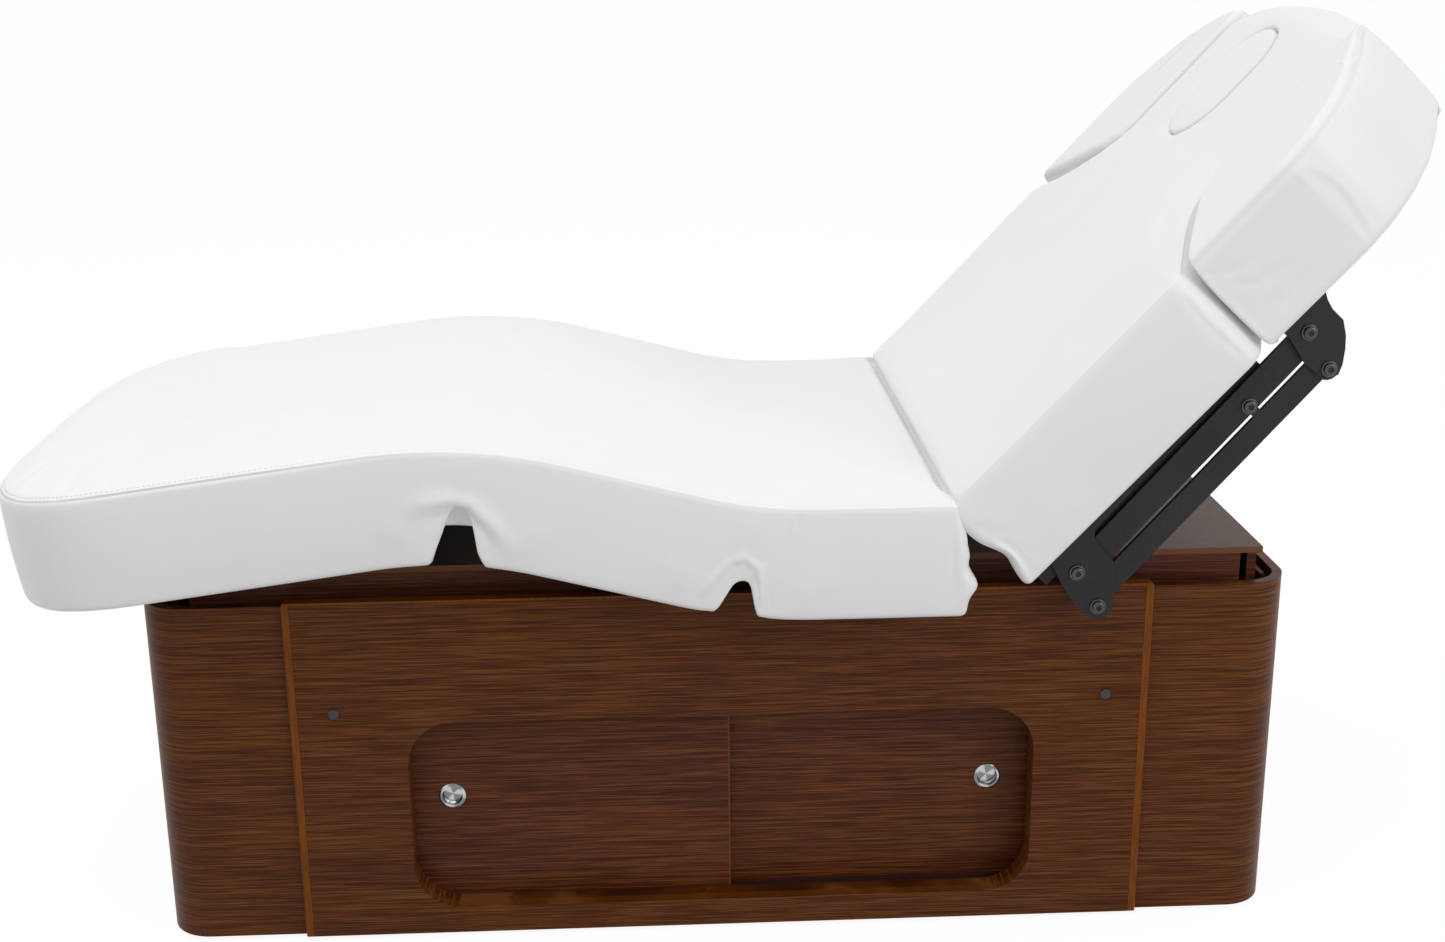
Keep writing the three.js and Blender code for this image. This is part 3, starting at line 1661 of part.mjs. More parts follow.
// Plan of the tongue that carries the head.
function headPlan() {
  const start = headLength - headRoundLength;
  const rim = headRoundShares.map(([x, y]) => [start + x * headRoundLength, tongueHalf * (1 - y)]);
  const other = rim.slice(0, -1).map(([x, y]) => [x, -y]);
  return polygon([[headStart + fit, -tongueHalf], ...other, ...rim.reverse(), [headStart + fit, tongueHalf]]);
}

const onShoulder = (p) => p.x > wideLength - fit && p.x < headStart - fit;
const backBlock = upholstered(outlinePoints(backPlan(), arcFacets, outlineStep), {
  seam: backSeam,
  depth: sideHeight,
  spine: [new THREE.Vector2(sectionGap, 0), new THREE.Vector2(headStart, 0)],
  locks: [sectionGap, headStart],
  bulge: tightBulge,
  rise: fading(0),
  round: (p) => (onShoulder(p) ? shoulderRound : edgeRound),
});
const headBlock = upholstered(outlinePoints(headPlan(), arcFacets, outlineStep), {
  seam: backSeam,
  depth: sideHeight,
  spine: [new THREE.Vector2(headStart + fit, 0), new THREE.Vector2(headLength - plugInset, 0)],
  locks: [headStart + fit],
  bulge: tightBulge,
});

function stadium(x0, length, width, grow) {
  const radius = width / 2 + grow;
  const left = x0 + width / 2;
  const right = x0 + length - width / 2;
  const shape = new THREE.Shape();
  shape.moveTo(left, -radius);
  shape.lineTo(right, -radius);
  shape.absarc(right, 0, radius, -Math.PI / 2, Math.PI / 2);
  shape.lineTo(left, radius);
  shape.absarc(left, 0, radius, Math.PI / 2, Math.PI * threeQuarterShare * 2);
  return shape;
}

const plugBottom = backSeam - plugThickness;
const faceHole = join(
  raised(
    stadium(plugStart, plugLength, plugWidth, plugGap),
    plugBottom - fit,
    backSeam + 2 * crownRise,
    roundFacets / 2,
  ),
  raised(stadium(plugStart, plugLength, plugWidth, -plugLedge), backLow - overrun, backSeam, roundFacets / 2),
);
// The underside is hollow, so that the lowered backrest clears the cabinet's end.
const backCavity = [
  block(
    -overrun,
    wideLength - skirtThickness / 2,
    -cavityHalf,
    cavityHalf,
    backLow - overrun,
    innerTopHeight + innerClear - backAxisZ,
  ),
  block(
    -overrun,
    innerHalfX + overrun - backX,
    -innerHalfY - 2 * overrun,
    innerHalfY + 2 * overrun,
    backLow - overrun,
    innerTopHeight + innerClear - backAxisZ,
  ),
  block(
    -overrun,
    halfLength + overrun - backX,
    -halfWidth - overrun,
    halfWidth + overrun,
    backLow - overrun,
    shellTop + sectionGap - backAxisZ,
  ),
  block(3 * overrun, wideLength - skirtThickness, -cavityHalf, cavityHalf, backLow, backCavityTop),
  block(0, headCavity, -headCavityHalf, headCavityHalf, backLow - overrun, backCavityTop),
];
const backRailSlots = Object.values(sides).map((side) =>
  block(
    -overrun,
    wideLength + overrun,
    side * (backRailInner - sectionGap),
    side * (backRailInner + backRailWide + sectionGap),
    backLow - overrun,
    backRailTop + sectionGap,
  ),
);
const backLeverSlot = block(
  -overrun,
  6 * overrun,
  -driveOffset - leverThickness,
  -driveOffset + leverThickness,
  backLow - overrun,
  backCavityTop + fit,
);
// The board that carries the head runs through the wall between the two hollows.
function boardSlot(x0, x1) {
  return block(
    x0,
    x1,
    -headBoardHalf - fit,
    headBoardHalf + fit,
    backBoardBottom - fit,
    backBoardTop + fit,
  );
}

const backCushion = cut(
  backBlock,
  ...backCavity,
  boardSlot(headCavity - overrun, headStart + overrun),
  ...backRailSlots,
  backLeverSlot,
  ...hingePockets(-overrun, 8 * overrun, backLow - overrun, backEyeRadius + 2 * hingeClear),
);
add('back_cushion', backCushion, 'leather', back);
const headCushion = cut(headBlock, faceHole, boardSlot(headStart - overrun, headBoardEnd + fit));
add('head_cushion', headCushion, 'leather', back);

// Plug of the face hole.
const plugShares = [0.72, 0.5];
const plugRise = crownRise * plugShares[0];
const plugOutline = outlinePoints(stadium(plugStart, plugLength, plugWidth, 0), roundFacets / 2, outlineStep);
const plug = upholstered(plugOutline, {
  seam: backSeam + plugRise,
  depth: plugThickness + plugRise,
  spine: [
    new THREE.Vector2(plugStart + plugWidth / 2, 0),
    new THREE.Vector2(plugStart + plugLength - plugWidth / 2, 0),
  ],
  rise: () => crownRise * plugShares[1],
  bulge: 0,
});
const plugFoot = block(
  plugStart - overrun,
  plugStart + plugLength + overrun,
  -plugWidth,
  plugWidth,
  plugBottom - crownRise,
  plugBottom,
);
add('face_hole_plug', cut(plug, plugFoot), 'leather', back);

const boardEnd = wideLength - skirtThickness - overrun;

// Back frame: hinge plates, cross bars, two deep side rails and the slotted lever.
const backCrossTop = backBoardBottom + fit;
const backCrossBottom = backCrossTop - crossFlat - overrun;
const backBars = [10 * overrun, wideLength / 2, wideLength - skirtThickness - 4 * overrun];
const backRailEnd = wideLength - overrun - fit;
const backRailOuter = backRailInner + backRailWide;

const hingePlateShares = [0.22, 0.4];

function backHingePlate(side) {
  const shape = new THREE.Shape();
  const low = backRailTop - backRailDeep / 2;
  shape.moveTo(backRailStart, low);
  shape.lineTo(wideLength * hingePlateShares[0], low);
  shape.lineTo(backBars[0] + crossFlatWide, backCrossTop);
  shape.lineTo(backBars[0] - crossFlatWide / 2, backCrossTop);
  shape.absarc(0, 0, backEyeRadius, Math.PI / 5, (Math.PI * 5) / 4);
  shape.lineTo(backRailStart * hingePlateShares[1], backCrossBottom);
  return across(shape, side * outerPlate, side * (outerPlate + hingePlate));
}

const backFrameParts = [
  block(7 * overrun, boardEnd, -boardReach, boardReach, backBoardBottom, backBoardTop),
  block(boardEnd - overrun, headBoardEnd, -headBoardHalf, headBoardHalf, backBoardBottom, backBoardTop),
];
for (const side of Object.values(sides)) {
  backFrameParts.push(
    block(
      backRailStart,
      backRailEnd,
      side * backRailInner,
      side * backRailOuter,
      backRailTop - backRailDeep,
      backRailTop,
    ),
    backHingePlate(side),
    barY(0, 0, backPinRadius, side * (hingeInner - hingeClear), side * (outerPlate + fit)),
  );
  for (const x of backBars.slice(1)) {
    const post = side * (backRailInner + hingePlate);
    backFrameParts.push(
      block(
        x - crossFlatWide / 2,
        x + crossFlatWide / 2,
        side * backRailInner,
        post,
        backRailTop - fit,
        backCrossTop,
      ),
    );
  }
}
for (const x of backBars) {
  const reach = backRailInner + hingePlate;
  const end = x === backBars[0] ? outerPlate + fit : reach;
  const half = crossFlatWide / 2;
  backFrameParts.push(block(x - half, x + half, -end, end, backCrossBottom, backCrossTop));
}
backFrameParts.push(
  slottedLever(0, -backLeverLean, backLeverLean, backLeverDepth, backSlotWidth, -driveOffset,
    [backBars[0] - crossFlatWide / 2, backBars[0] + crossFlatWide / 2], backCrossTop - fit),
);
add('back_frame', join(...backFrameParts), 'steel', back);

// Arm pads and linkage.

const padLow = backLow;
const bracketInner = linkInner + linkThickness + bracketClear;
const bracketOuter = bracketInner + bracketThickness;
const upperPivotS = linkPivotS + linkLength * Math.cos(rad(linkTilt));
const upperPivotT = linkPivotT + linkLength * Math.sin(rad(linkTilt));

// The pad's inner shoulder, as shares of its length and of the step in width.
const shoulderShares = [
  [0, 0],
  [0.085, 0.13],
  [0.24, 0.36],
  [0.43, 0.62],
  [0.62, 0.84],
  [0.81, 0.96],
  [1, 1],
];

// Plan of one pad: inner edge beside the tongue, curved shoulder, straight outer edge
// and a round that runs in to the head end.
const padOuterShares = [
  [0, 0],
  [0.2, 0.045],
  [0.42, 0.17],
  [0.62, 0.36],
  [0.8, 0.62],
  [0.93, 0.86],
];
const padStraightShare = 0.48;
const padStepShare = 0.7;
const padSpineShare = 0.6;
const padCrownShare = 0.8;

function padPlan(side) {
  const start = wideLength + padGap;
  const step = halfMattress - tongueHalf;
  const points = shoulderShares.map(([x, y]) => [
    start + x * shoulderLength,
    halfMattress - y * (step - tongueGap),
  ]);
  const straightEnd = wideLength + padGap + padOuterLength * padStraightShare;
  const run = padTipLength - straightEnd;
  const tip = [padTipLength, tongueHalf + tongueGap];
  const rim = padOuterShares.map(([x, y]) => [straightEnd + x * run, halfMattress - y * step]);
  const list = [...points, tip, ...rim.reverse()];
  return list.map(([x, y]) => new THREE.Vector2(x, side * y));
}

function armPad(side) {
  const outline = outlinePoints(new THREE.Shape(padPlan(side)), arcFacets, outlineStep * padStepShare);
  const mid = (halfMattress + tongueHalf) / 2;
  return upholstered(outline, {
    seam: backSeam,
    depth: sideHeight,
    spine: [
      new THREE.Vector2(wideLength + padGap + shoulderLength * padSpineShare, side * (mid + 2 * padGap)),
      new THREE.Vector2(padTipLength - shoulderLength, side * mid),
      new THREE.Vector2(padTipLength - shoulderLength / 2, side * (mid - 2 * padGap)),
    ],
    rise: () => crownRise * padCrownShare,
    bulge: tightBulge,
  });
}

// Outlines of the two bracket plates, as shares of their length and depth.
const lowerPlateShares = [
  [0.14, 0],
  [0.053, -0.355],
  [0.005, -0.664],
  [0.012, -0.86],
  [0.045, -0.955],
  [0.1, -1],
  [0.175, -0.985],
  [0.245, -0.91],
  [0.31, -0.84],
  [0.467, -0.589],
  [0.5, -0.224],
  [0.553, -0.15],
  [1, -0.12],
  [1, 0],
];
const upperPlateShares = [
  [0.115, 0],
  [0.115, -0.21],
  [0.066, -0.38],
  [0.005, -0.6],
  [0.03, -0.83],
  [0.127, -0.96],
  [0.25, -1],
  [0.407, -0.945],
  [0.61, -0.82],
  [0.76, -0.7],
  [0.9, -0.53],
  [0.9, -0.33],
  [0.945, -0.2],
  [1, -0.12],
  [1, 0],
];

const boltShares = [0.92, 0.55, 0.6, 0.94];

// Button head with its washer, on the outside of a plate.
function boltHead(s, t, side, face) {
  const crown = boltHeadHeight + boltWasherHeight;
  const profile = [
    [0, -fit],
    [boltWasherRadius, -fit],
    [boltWasherRadius, boltWasherHeight],
    [boltHeadRadius, boltWasherHeight],
    [boltHeadRadius * boltShares[0], boltWasherHeight + boltHeadHeight * boltShares[1]],
    [boltHeadRadius * boltShares[2], crown * boltShares[3]],
    [0, crown],
  ].map(([r, z]) => new THREE.Vector2(r, z));
  const geometry = new THREE.LatheGeometry(profile, roundFacets * threeQuarterShare);
  if (side < 0) geometry.rotateX(Math.PI);
  return solid(geometry.translate(s, side * face, t));
}

function linkBody(length, half, offset, side, stop) {
  const y0 = side * linkInner;
  const y1 = side * (linkInner + linkThickness);
  const parts = [
    block(linkEyeTrim, length - linkEyeTrim, y0, y1, offset - half, offset + half),
    barY(0, 0, linkEyeRadius, y0, y1),
    barY(length, 0, linkEyeRadius, y0, y1),
  ];
  if (stop) {
    const reach = pairDistance - (linkTwoHalf + linkTwoOffset) - stopClear;
    parts.push(
      block(stopAlong - stopTabWidth / 2, stopAlong + stopTabWidth / 2, y0, y1, -reach, offset),
      boltHead(stopAlong, offset - half / 2, side, linkInner + linkThickness),
    );
  }
  const bore = linkPinRadius + boreClearance;
  return cut(
    join(...parts),
    barY(0, 0, bore, side * (linkInner - overrun), side * (bracketInner + overrun)),
    barY(length, 0, bore, side * (linkInner - overrun), side * (bracketInner + overrun)),
  );
}

// Where the bracket plates' flanges begin and how deep they are.
const bracketShares = [0.3, 0.12, 0.4];

// Distance between the two links' lines, square to them, at rest.
const pairAngle = Math.atan2(pairT, pairS) - rad(linkTilt);
const pairDistance = -Math.hypot(pairS, pairT) * Math.sin(pairAngle);

for (const [name, side] of Object.entries(sides)) {
  // lower bracket, fixed to the back frame
  const lowerPins = [
    [linkPivotS, linkPivotT],
    [linkPivotS + pairS, linkPivotT + pairT],
  ];
  const lowerTop = backRailTop - backRailDeep * bracketShares[0];
  const lower = join(
    across(
      plateOutline(lowerPlateShares, lowerPlateStart, lowerTop, lowerPlateLength, lowerPlateDepth),
      side * bracketInner,
      side * bracketOuter,
    ),
    block(
      linkPivotS,
      lowerPlateStart + lowerPlateLength,
      side * (backRailOuter + fit),
      side * (bracketInner + fit),
      lowerTop - lowerPlateDepth * bracketShares[1],
      lowerTop,
    ),
    ...lowerPins.flatMap(([s, t]) => [
      barY(s, t, linkPinRadius, side * (linkInner - bracketClear), side * (bracketInner + fit)),
      boltHead(s, t, side, bracketOuter),
    ]),
  );
  add(`arm_bracket_lower_${name}`, lower, 'steel', back);

  // upper bracket, fixed under the pad
  const upperPins = [
    [upperPivotS, upperPivotT],
    [upperPivotS + pairS, upperPivotT + pairT],
  ];
  const flangeTop = padLow - fit;
  const upper = join(
    across(
      plateOutline(upperPlateShares, upperPlateStart, flangeTop, upperPlateLength, upperPlateDepth),
      side * bracketInner,
      side * bracketOuter,
    ),
    block(
      upperPlateStart + upperPlateLength * bracketShares[2],
      upperPlateStart + upperPlateLength + 2 * flangeReach,
      side * (bracketOuter - flangeReach),
      side * bracketOuter,
      flangeTop - bracketThickness,
      flangeTop,
    ),
    ...upperPins.flatMap(([s, t]) => [
      barY(s, t, linkPinRadius, side * (linkInner - bracketClear), side * (bracketInner + fit)),
      boltHead(s, t, side, bracketOuter),
    ]),
  );
  add(`arm_bracket_upper_${name}`, upper, 'steel', back);

  const oneBody = linkBody(linkLength, linkOneHalf, linkOneOffset, side, true);
  const one = add(`arm_link_upper_${name}`, oneBody, 'steel', back);
  one.position.set(linkPivotS, 0, linkPivotT);
  one.rotation.y = -rad(linkTilt);
  const twoBody = linkBody(linkLength, linkTwoHalf, linkTwoOffset, side, false);
  const two = add(`arm_link_lower_${name}`, twoBody, 'steel', back);
  two.position.set(linkPivotS + pairS, 0, linkPivotT + pairT);
  two.rotation.y = -rad(linkTilt);

  add(`arm_pad_${name}`, armPad(side), 'leather', back);
}

export default table;
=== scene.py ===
"""Electric treatment table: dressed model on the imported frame, laid out as an add-on."""
import functools
import json
import math

import bmesh
import bpy
import numpy as np
from bpy.props import FloatProperty, FloatVectorProperty, PointerProperty
from mathutils import Matrix, Vector


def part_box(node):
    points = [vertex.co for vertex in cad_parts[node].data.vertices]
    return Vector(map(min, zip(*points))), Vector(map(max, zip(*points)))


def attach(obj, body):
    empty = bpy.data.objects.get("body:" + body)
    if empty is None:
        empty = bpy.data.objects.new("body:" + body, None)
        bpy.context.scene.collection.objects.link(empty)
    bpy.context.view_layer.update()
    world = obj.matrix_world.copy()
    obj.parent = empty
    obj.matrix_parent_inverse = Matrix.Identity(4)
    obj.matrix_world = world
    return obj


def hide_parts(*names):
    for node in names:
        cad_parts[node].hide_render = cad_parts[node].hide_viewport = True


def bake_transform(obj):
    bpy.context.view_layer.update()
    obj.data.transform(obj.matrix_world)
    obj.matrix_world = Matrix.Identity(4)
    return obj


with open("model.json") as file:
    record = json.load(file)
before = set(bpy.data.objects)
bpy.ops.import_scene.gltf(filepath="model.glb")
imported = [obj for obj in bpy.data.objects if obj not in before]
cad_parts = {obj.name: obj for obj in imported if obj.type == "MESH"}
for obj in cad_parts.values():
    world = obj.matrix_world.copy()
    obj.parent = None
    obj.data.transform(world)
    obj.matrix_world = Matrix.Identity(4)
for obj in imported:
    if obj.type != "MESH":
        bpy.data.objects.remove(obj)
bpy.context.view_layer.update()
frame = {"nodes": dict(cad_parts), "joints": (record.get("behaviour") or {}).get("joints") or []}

bl_info = {
    "name": "Treatment table",
    "version": (1, 0, 0),
    "blender": (4, 5, 0),
    "location": "3D View > Sidebar > Treatment table",
    "description": "Dresses the treatment table's frame with covers, wood and steel",
    "category": "Object",
}

MM = 0.001

# The hip's and the backrest's axis at rest, from the frame, in millimetres.
JOINTS = {joint["name"]: joint for joint in frame["joints"]}


def axis_of(name):
    """A hinge's place in the middle of the table, in millimetres."""
    place = JOINTS[name]["pos_m"]
    return np.array([place[0] / MM, 0.0, place[2] / MM])


HIP = axis_of("thigh_hinge")
BACK = axis_of("back_hinge")
THIGH_LENGTH = 360.0
THIGH_TILT = math.radians(-14.5)
CALF_TILT = math.radians(7.5)
BACK_TILT = math.radians(46.5)
KNEE_FLAT = -THIGH_LENGTH

# Mattress, in millimetres, before it is bent at the hip and the knee: half widths of the
# sections and the head, the seam's height over the axes, the covers' and the foam's depth
# from it, the hem's width, the lower edge's radius, and the crown's rise and its shape.
HALF = 390.0
TONGUE = 213.5
SEAM = 10.0
DEPTH = 138.0
FOAM = 52.0
SKIRT = 39.0
EDGE = 9.0
CROWN = 21.0
CROWN_SHARES = (
    (0, 0), (0.012, 0.22), (0.05, 0.48), (0.13, 0.72), (0.28, 0.9), (0.52, 1), (1, 1),
)
CROWN_START = 26.0


# Sizes and colours

def size(name, text, default):
    return FloatProperty(name=name, description=text, default=default, unit="LENGTH")


def shade(name, text, rgb):
    return FloatVectorProperty(
        name=name, description=text, default=[linear(c) for c in rgb], size=3,
        subtype="COLOR", min=0.0, max=1.0,
    )


def linear(value):
    value = value / 255
    return value / 12.92 if value <= 0.04045 else ((value + 0.055) / 1.055) ** 2.4


class TableSizes(bpy.types.PropertyGroup):
    """Sizes that a user would change."""
    crown: size("Crown", "Rise of the cushions over their seam", CROWN * MM)
    bulge: size("Bulge", "How far the side walls stand out", 0.003)
    stitch: size("Stitch", "Length of one stitch and its gap", 0.0062)
    grain: size("Leather grain", "Size of the leather's grain", 0.0011)
    streak: size("Wood streak", "Thickness of the wood's streaks", 0.0012)


class TableColours(bpy.types.PropertyGroup):
    """Colours that a user would change."""
    leather: shade("Leather", "White cover", (243, 243, 243))
    # Also the colour of the painted shade in the seat's crease and of the seam line's painted
    # groove shade.
    thread: shade("Thread", "Seam and thread", (176, 177, 178))
    wood: shade("Wood", "Ground of the outer wood", (86, 45, 15))
    wood_light: shade("Light streaks", "Light streaks of the wood", (128, 80, 40))
    wood_dark: shade("Dark streaks", "Dark streaks of the wood", (46, 18, 3))
    inner: shade("Inner wood", "Ground of the inner cabinet's wood", (84, 44, 38))
    edging: shade("Edging", "Rounded edging of the panels", (122, 66, 18))
    steel: shade("Black steel", "Painted steel", (30, 30, 32))
    chrome: shade("Chrome", "Flush pulls", (214, 215, 218))
    zinc: shade("Zinc", "Plated steel", (168, 170, 172))
    plastic: shade("Plastic", "Caps, control box and inlet", (52, 44, 52))
    rubber: shade("Rubber", "Feet", (34, 34, 35))


# Shader maths

class Value:
    """A socket that can be used in Python sums."""

    def __init__(self, finish, socket):
        self.finish = finish
        self.socket = socket

    def sum(self, operation, first, second):
        return self.finish.node("ShaderNodeMath", {"operation": operation}, {0: first, 1: second})

    def near(self, place, width):
        """1 within width of place, else 0."""
        return self.finish.node(
            "ShaderNodeMath", {"operation": "COMPARE"}, {0: self, 1: place, 2: width}
        )

    def ease(self, low, high, start=0.0, end=1.0):
        """Smooth step from start to end between low and high."""
        settings = {"interpolation_type": "SMOOTHSTEP"}
        values = {0: self, 1: low, 2: high, 3: start, 4: end}
        return self.finish.node("ShaderNodeMapRange", settings, values)


def operator(operation, reflected=False):
    """A Math node's operation as a Python operator."""
    if reflected:
        return lambda self, other: self.sum(operation, other, self)
    return lambda self, other: self.sum(operation, self, other)


for symbol, operation in (("add", "ADD"), ("sub", "SUBTRACT"), ("mul", "MULTIPLY")):
    setattr(Value, f"__{symbol}__", operator(operation))
    setattr(Value, f"__r{symbol}__", operator(operation, True))
for symbol, operation in (("gt", "GREATER_THAN"), ("lt", "LESS_THAN")):
    setattr(Value, f"__{symbol}__", operator(operation))


class Finish:
    """A material, or a world, under construction."""

    def __init__(self, name, library="materials"):
        self.owner = getattr(bpy.data, library).new(name)
        self.owner.use_nodes = True
        self.tree = self.owner.node_tree
        self.shader = self.tree.nodes.get("Principled BSDF")
        self.places = None

    def node(self, kind, settings=None, values=None, out=0):
        """Any node: its type, its settings, then the values or links of its sockets."""
        made = self.tree.nodes.new(kind)
        for key, setting in (settings or {}).items():
            setattr(made, key, setting)
        for key, value in (values or {}).items():
            self.feed(made.inputs[key], value)
        return Value(self, made.outputs[out])

    def feed(self, socket, value):
        if isinstance(value, Value):
            self.tree.links.new(value.socket, socket)
        elif socket.type == "RGBA" and len(value) == 3:
            socket.default_value = (*value, 1.0)
        else:
            socket.default_value = value

    def set(self, **values):
        """Sets or links the shader's own sockets."""
        for key, value in values.items():
            name = key.replace("_", " ").title().replace("Ior", "IOR")
            self.feed(self.shader.inputs[name], value)

    def done(self, base, roughness, height, strength, distance, **more):
        """Sets the shader's colour, roughness and bump, and gives the material."""
        relief = {"Strength": strength, "Distance": distance, "Height": height}
        normal = self.node("ShaderNodeBump", None, relief)
        self.set(base_color=base, roughness=roughness, normal=normal, **more)
        return self.owner

    def place(self):
        if self.places is None:
            self.places = self.node("ShaderNodeTexCoord", out="Object")
        return self.places

    def parts(self, source):
        """The three parts of a vector."""
        split = self.node("ShaderNodeSeparateXYZ", None, {0: source}).socket.node
        return [Value(self, output) for output in split.outputs]

    def rays(self, *kinds):
        """Whether a ray is of each kind."""
        path = self.node("ShaderNodeLightPath").socket.node
        return [Value(self, path.outputs[f"Is {kind} Ray"]) for kind in kinds]

    def scaled(self, scale, offset=(0, 0, 0)):
        values = {"Vector": self.place(), "Scale": scale, "Location": offset}
        return self.node("ShaderNodeMapping", None, values)

    def noise(self, scale, detail=2.0, rough=0.5, offset=(0, 0, 0), size=1.0):
        where = self.scaled(scale, offset)
        values = {"Vector": where, "Scale": size, "Detail": detail, "Roughness": rough}
        return self.node("ShaderNodeTexNoise", None, values)

    def mix(self, factor, first, second):
        values = {0: factor, 6: first, 7: second}
        return self.node("ShaderNodeMix", {"data_type": "RGBA"}, values, out=2)


def colours():
    return bpy.context.scene.table_colours


def sizes():
    return bpy.context.scene.table_sizes


def tint(colour, factor):
    return tuple(min(1.0, c * factor) for c in colour)


def blend_colours(first, second, share):
    return tuple(a + (b - a) * share for a, b in zip(first, second))


def times(values, factors):
    return tuple(value * factor for value, factor in zip(values, factors))


def wood(name, ground, across="Z", streaks=1.0, edges=None):
    """Lacquered veneer with fine level streaks. across is the axis square to the grain."""
    c = colours()
    finish = Finish(name)
    fine = 1 / sizes().streak

    def along(length, thin):
        return {"Z": (length, length, fine * thin), "Y": (length, fine * thin, fine)}[across]

    grain, hairs = along(9.0, 1.05), along(17.0, 1.9)
    streak = finish.noise(grain, 1.2) * 0.55
    streak = streak + finish.noise(hairs, 1.4, 0.5, (3.1, 1.7, 4.3)) * 0.45
    pores = finish.noise(times(hairs, (2.0, 2.0, 2.0)), 1.0, 0.5, (6.1, 2.7, 1.3))
    band = finish.noise(times(grain, (0.4, 0.4, 0.2)), 2.0, 0.5, (7, 3, 1))
    zone = finish.noise((1.7, 1.7, 5.5), 2.0, 0.5, (2.3, 5.1, 0.4))
    light = blend_colours(ground, c.wood_light, 0.75 * streaks)
    dark = blend_colours(ground, c.wood_dark, 0.85 * streaks)
    purple = times(ground, (0.98, 0.86, 1.18))
    orange = times(ground, (1.12, 1.0, 0.62))
    base = finish.mix(zone.ease(0.38, 0.64), purple, orange)
    base = finish.mix(band.ease(0.4, 0.66) * 0.4, base, dark)
    base = finish.mix(streak.ease(0.49, 0.6) * 0.8, base, light)
    base = finish.mix(streak.ease(0.5, 0.38) * 0.8, base, dark)
    base = finish.mix(pores.ease(0.6, 0.68) * 0.5, base, dark)
    if edges is not None:
        base = finish.mix(edges(finish), base, blend_colours(ground, c.edging, 0.85))
    return finish.done(
        base, streak.ease(0.35, 0.65, 0.36, 0.46), streak * 0.6 + pores * 0.4, 0.16, 0.0004,
        coat_weight=0.04, coat_roughness=0.25, specular_ior_level=0.1,
    )


def edging_wood():
    c = colours()
    finish = Finish("edging_wood")
    streak = finish.noise((260, 260, 22), 3.0, 0.6)
    wide = finish.noise((4, 4, 3))
    base = finish.mix(streak.ease(0.4, 0.62), tint(c.edging, 0.82), tint(c.edging, 1.16))
    base = finish.mix(wide.ease(0.42, 0.62) * 0.35, base, tint(c.edging, 0.78))
    return finish.done(
        base, streak.ease(0.3, 0.7, 0.34, 0.46), streak, 0.12, 0.0003,
        coat_weight=0.03, coat_roughness=0.3, specular_ior_level=0.1,
    )


# The drawn seam's grey line, partly painted shade of its groove, and the thread beside it, in
# metres from the seam.
SEAM_HALF_WIDTH = 0.0011
THREAD_PLACE = -0.0052
THREAD_HALF_WIDTH = 0.0007


def leather(name, strength, far=None, gap=None):
    """Smooth leatherette: fine grain, a grey seam line, partly painted shade of the seam's groove,
    and thread from the piece's own UV map.
    The line fades to the strength far along the seam; past x = gap the top gets painted shade for
    the crease."""
    c = colours()
    finish = Finish(name)
    grain = 1 / sizes().grain
    values = {"Vector": finish.scaled((grain, grain, grain)), "Scale": 1.0, "Randomness": 1.0}
    cell = finish.node("ShaderNodeTexVoronoi", {"feature": "F1"}, values)
    soft = finish.noise((9, 9, 9), 3.0)
    along, off, _ = finish.parts(finish.node("ShaderNodeUVMap", {"uv_map": "seam"}))
    # The seam line is the seam's own grey together with painted shade of its groove.
    line = off.near(0.0, SEAM_HALF_WIDTH)
    pitch = sizes().stitch
    step = along.sum("PINGPONG", along, pitch / 2)
    thread = off.near(THREAD_PLACE, THREAD_HALF_WIDTH) * (step > pitch * 0.16)
    base = finish.mix(soft.ease(0.35, 0.65), tint(c.leather, 0.985), c.leather)
    drawn = along.ease(0.62, 0.9, strength, far) if far is not None else strength
    base = finish.mix((line * 0.5 + thread * 0.6) * drawn, base, c.thread)
    # Painted shade: past x = gap, away from the seam and between the sides, the top is greyed with
    # the thread colour where the crease with the backrest lies.
    if gap is not None:
        x, y, _ = finish.parts(finish.place())
        inside = y.sum("ABSOLUTE", y, 0.0) < (OPEN_HALF - 1) * MM
        painted_crease_shade = x.ease(gap, gap + 0.003) * (off < -0.006) * inside * 0.35
        base = finish.mix(painted_crease_shade, base, c.thread)
    return finish.done(
        base, soft.ease(0.3, 0.7, 0.4, 0.48) + line * 0.2,
        cell * 0.3 + soft * 0.2 + thread * drawn * 0.8, 0.1, 0.0003,
        coat_weight=0.06, coat_roughness=0.35, specular_ior_level=0.42,
    )


def powder_steel(name, colour):
    """Powder-coated steel: a fine peel with small lighter specks."""
    finish = Finish(name)
    peel = finish.noise((1, 1, 1), size=900.0)
    specks = finish.noise((1, 1, 1), 1.0, 0.5, (5, 1, 2), size=620.0)
    wear = finish.noise((1, 1, 1), 3.0, 0.6, (1, 4, 2), size=12.0)
    base = finish.mix(wear.ease(0.35, 0.68), tint(colour, 0.86), tint(colour, 1.18))
    base = finish.mix(specks.ease(0.6, 0.72) * 0.5, base, tint(colour, 2.6))
    return finish.done(base, peel.ease(0.3, 0.7, 0.36, 0.5), peel, 0.22, 0.0002,
                       specular_ior_level=0.28)


def metal(name, colour, rough, brush):
    """Plated or polished metal with fine turning or drawing marks."""
    finish = Finish(name)
    marks = finish.noise(brush)
    cloud = finish.noise((30, 30, 30))
    base = finish.mix(cloud.ease(0.35, 0.65), tint(colour, 0.9), colour)
    return finish.done(base, marks.ease(0.3, 0.7, rough, rough + 0.1), marks, 0.06, 0.0001,
                       metallic=1.0)


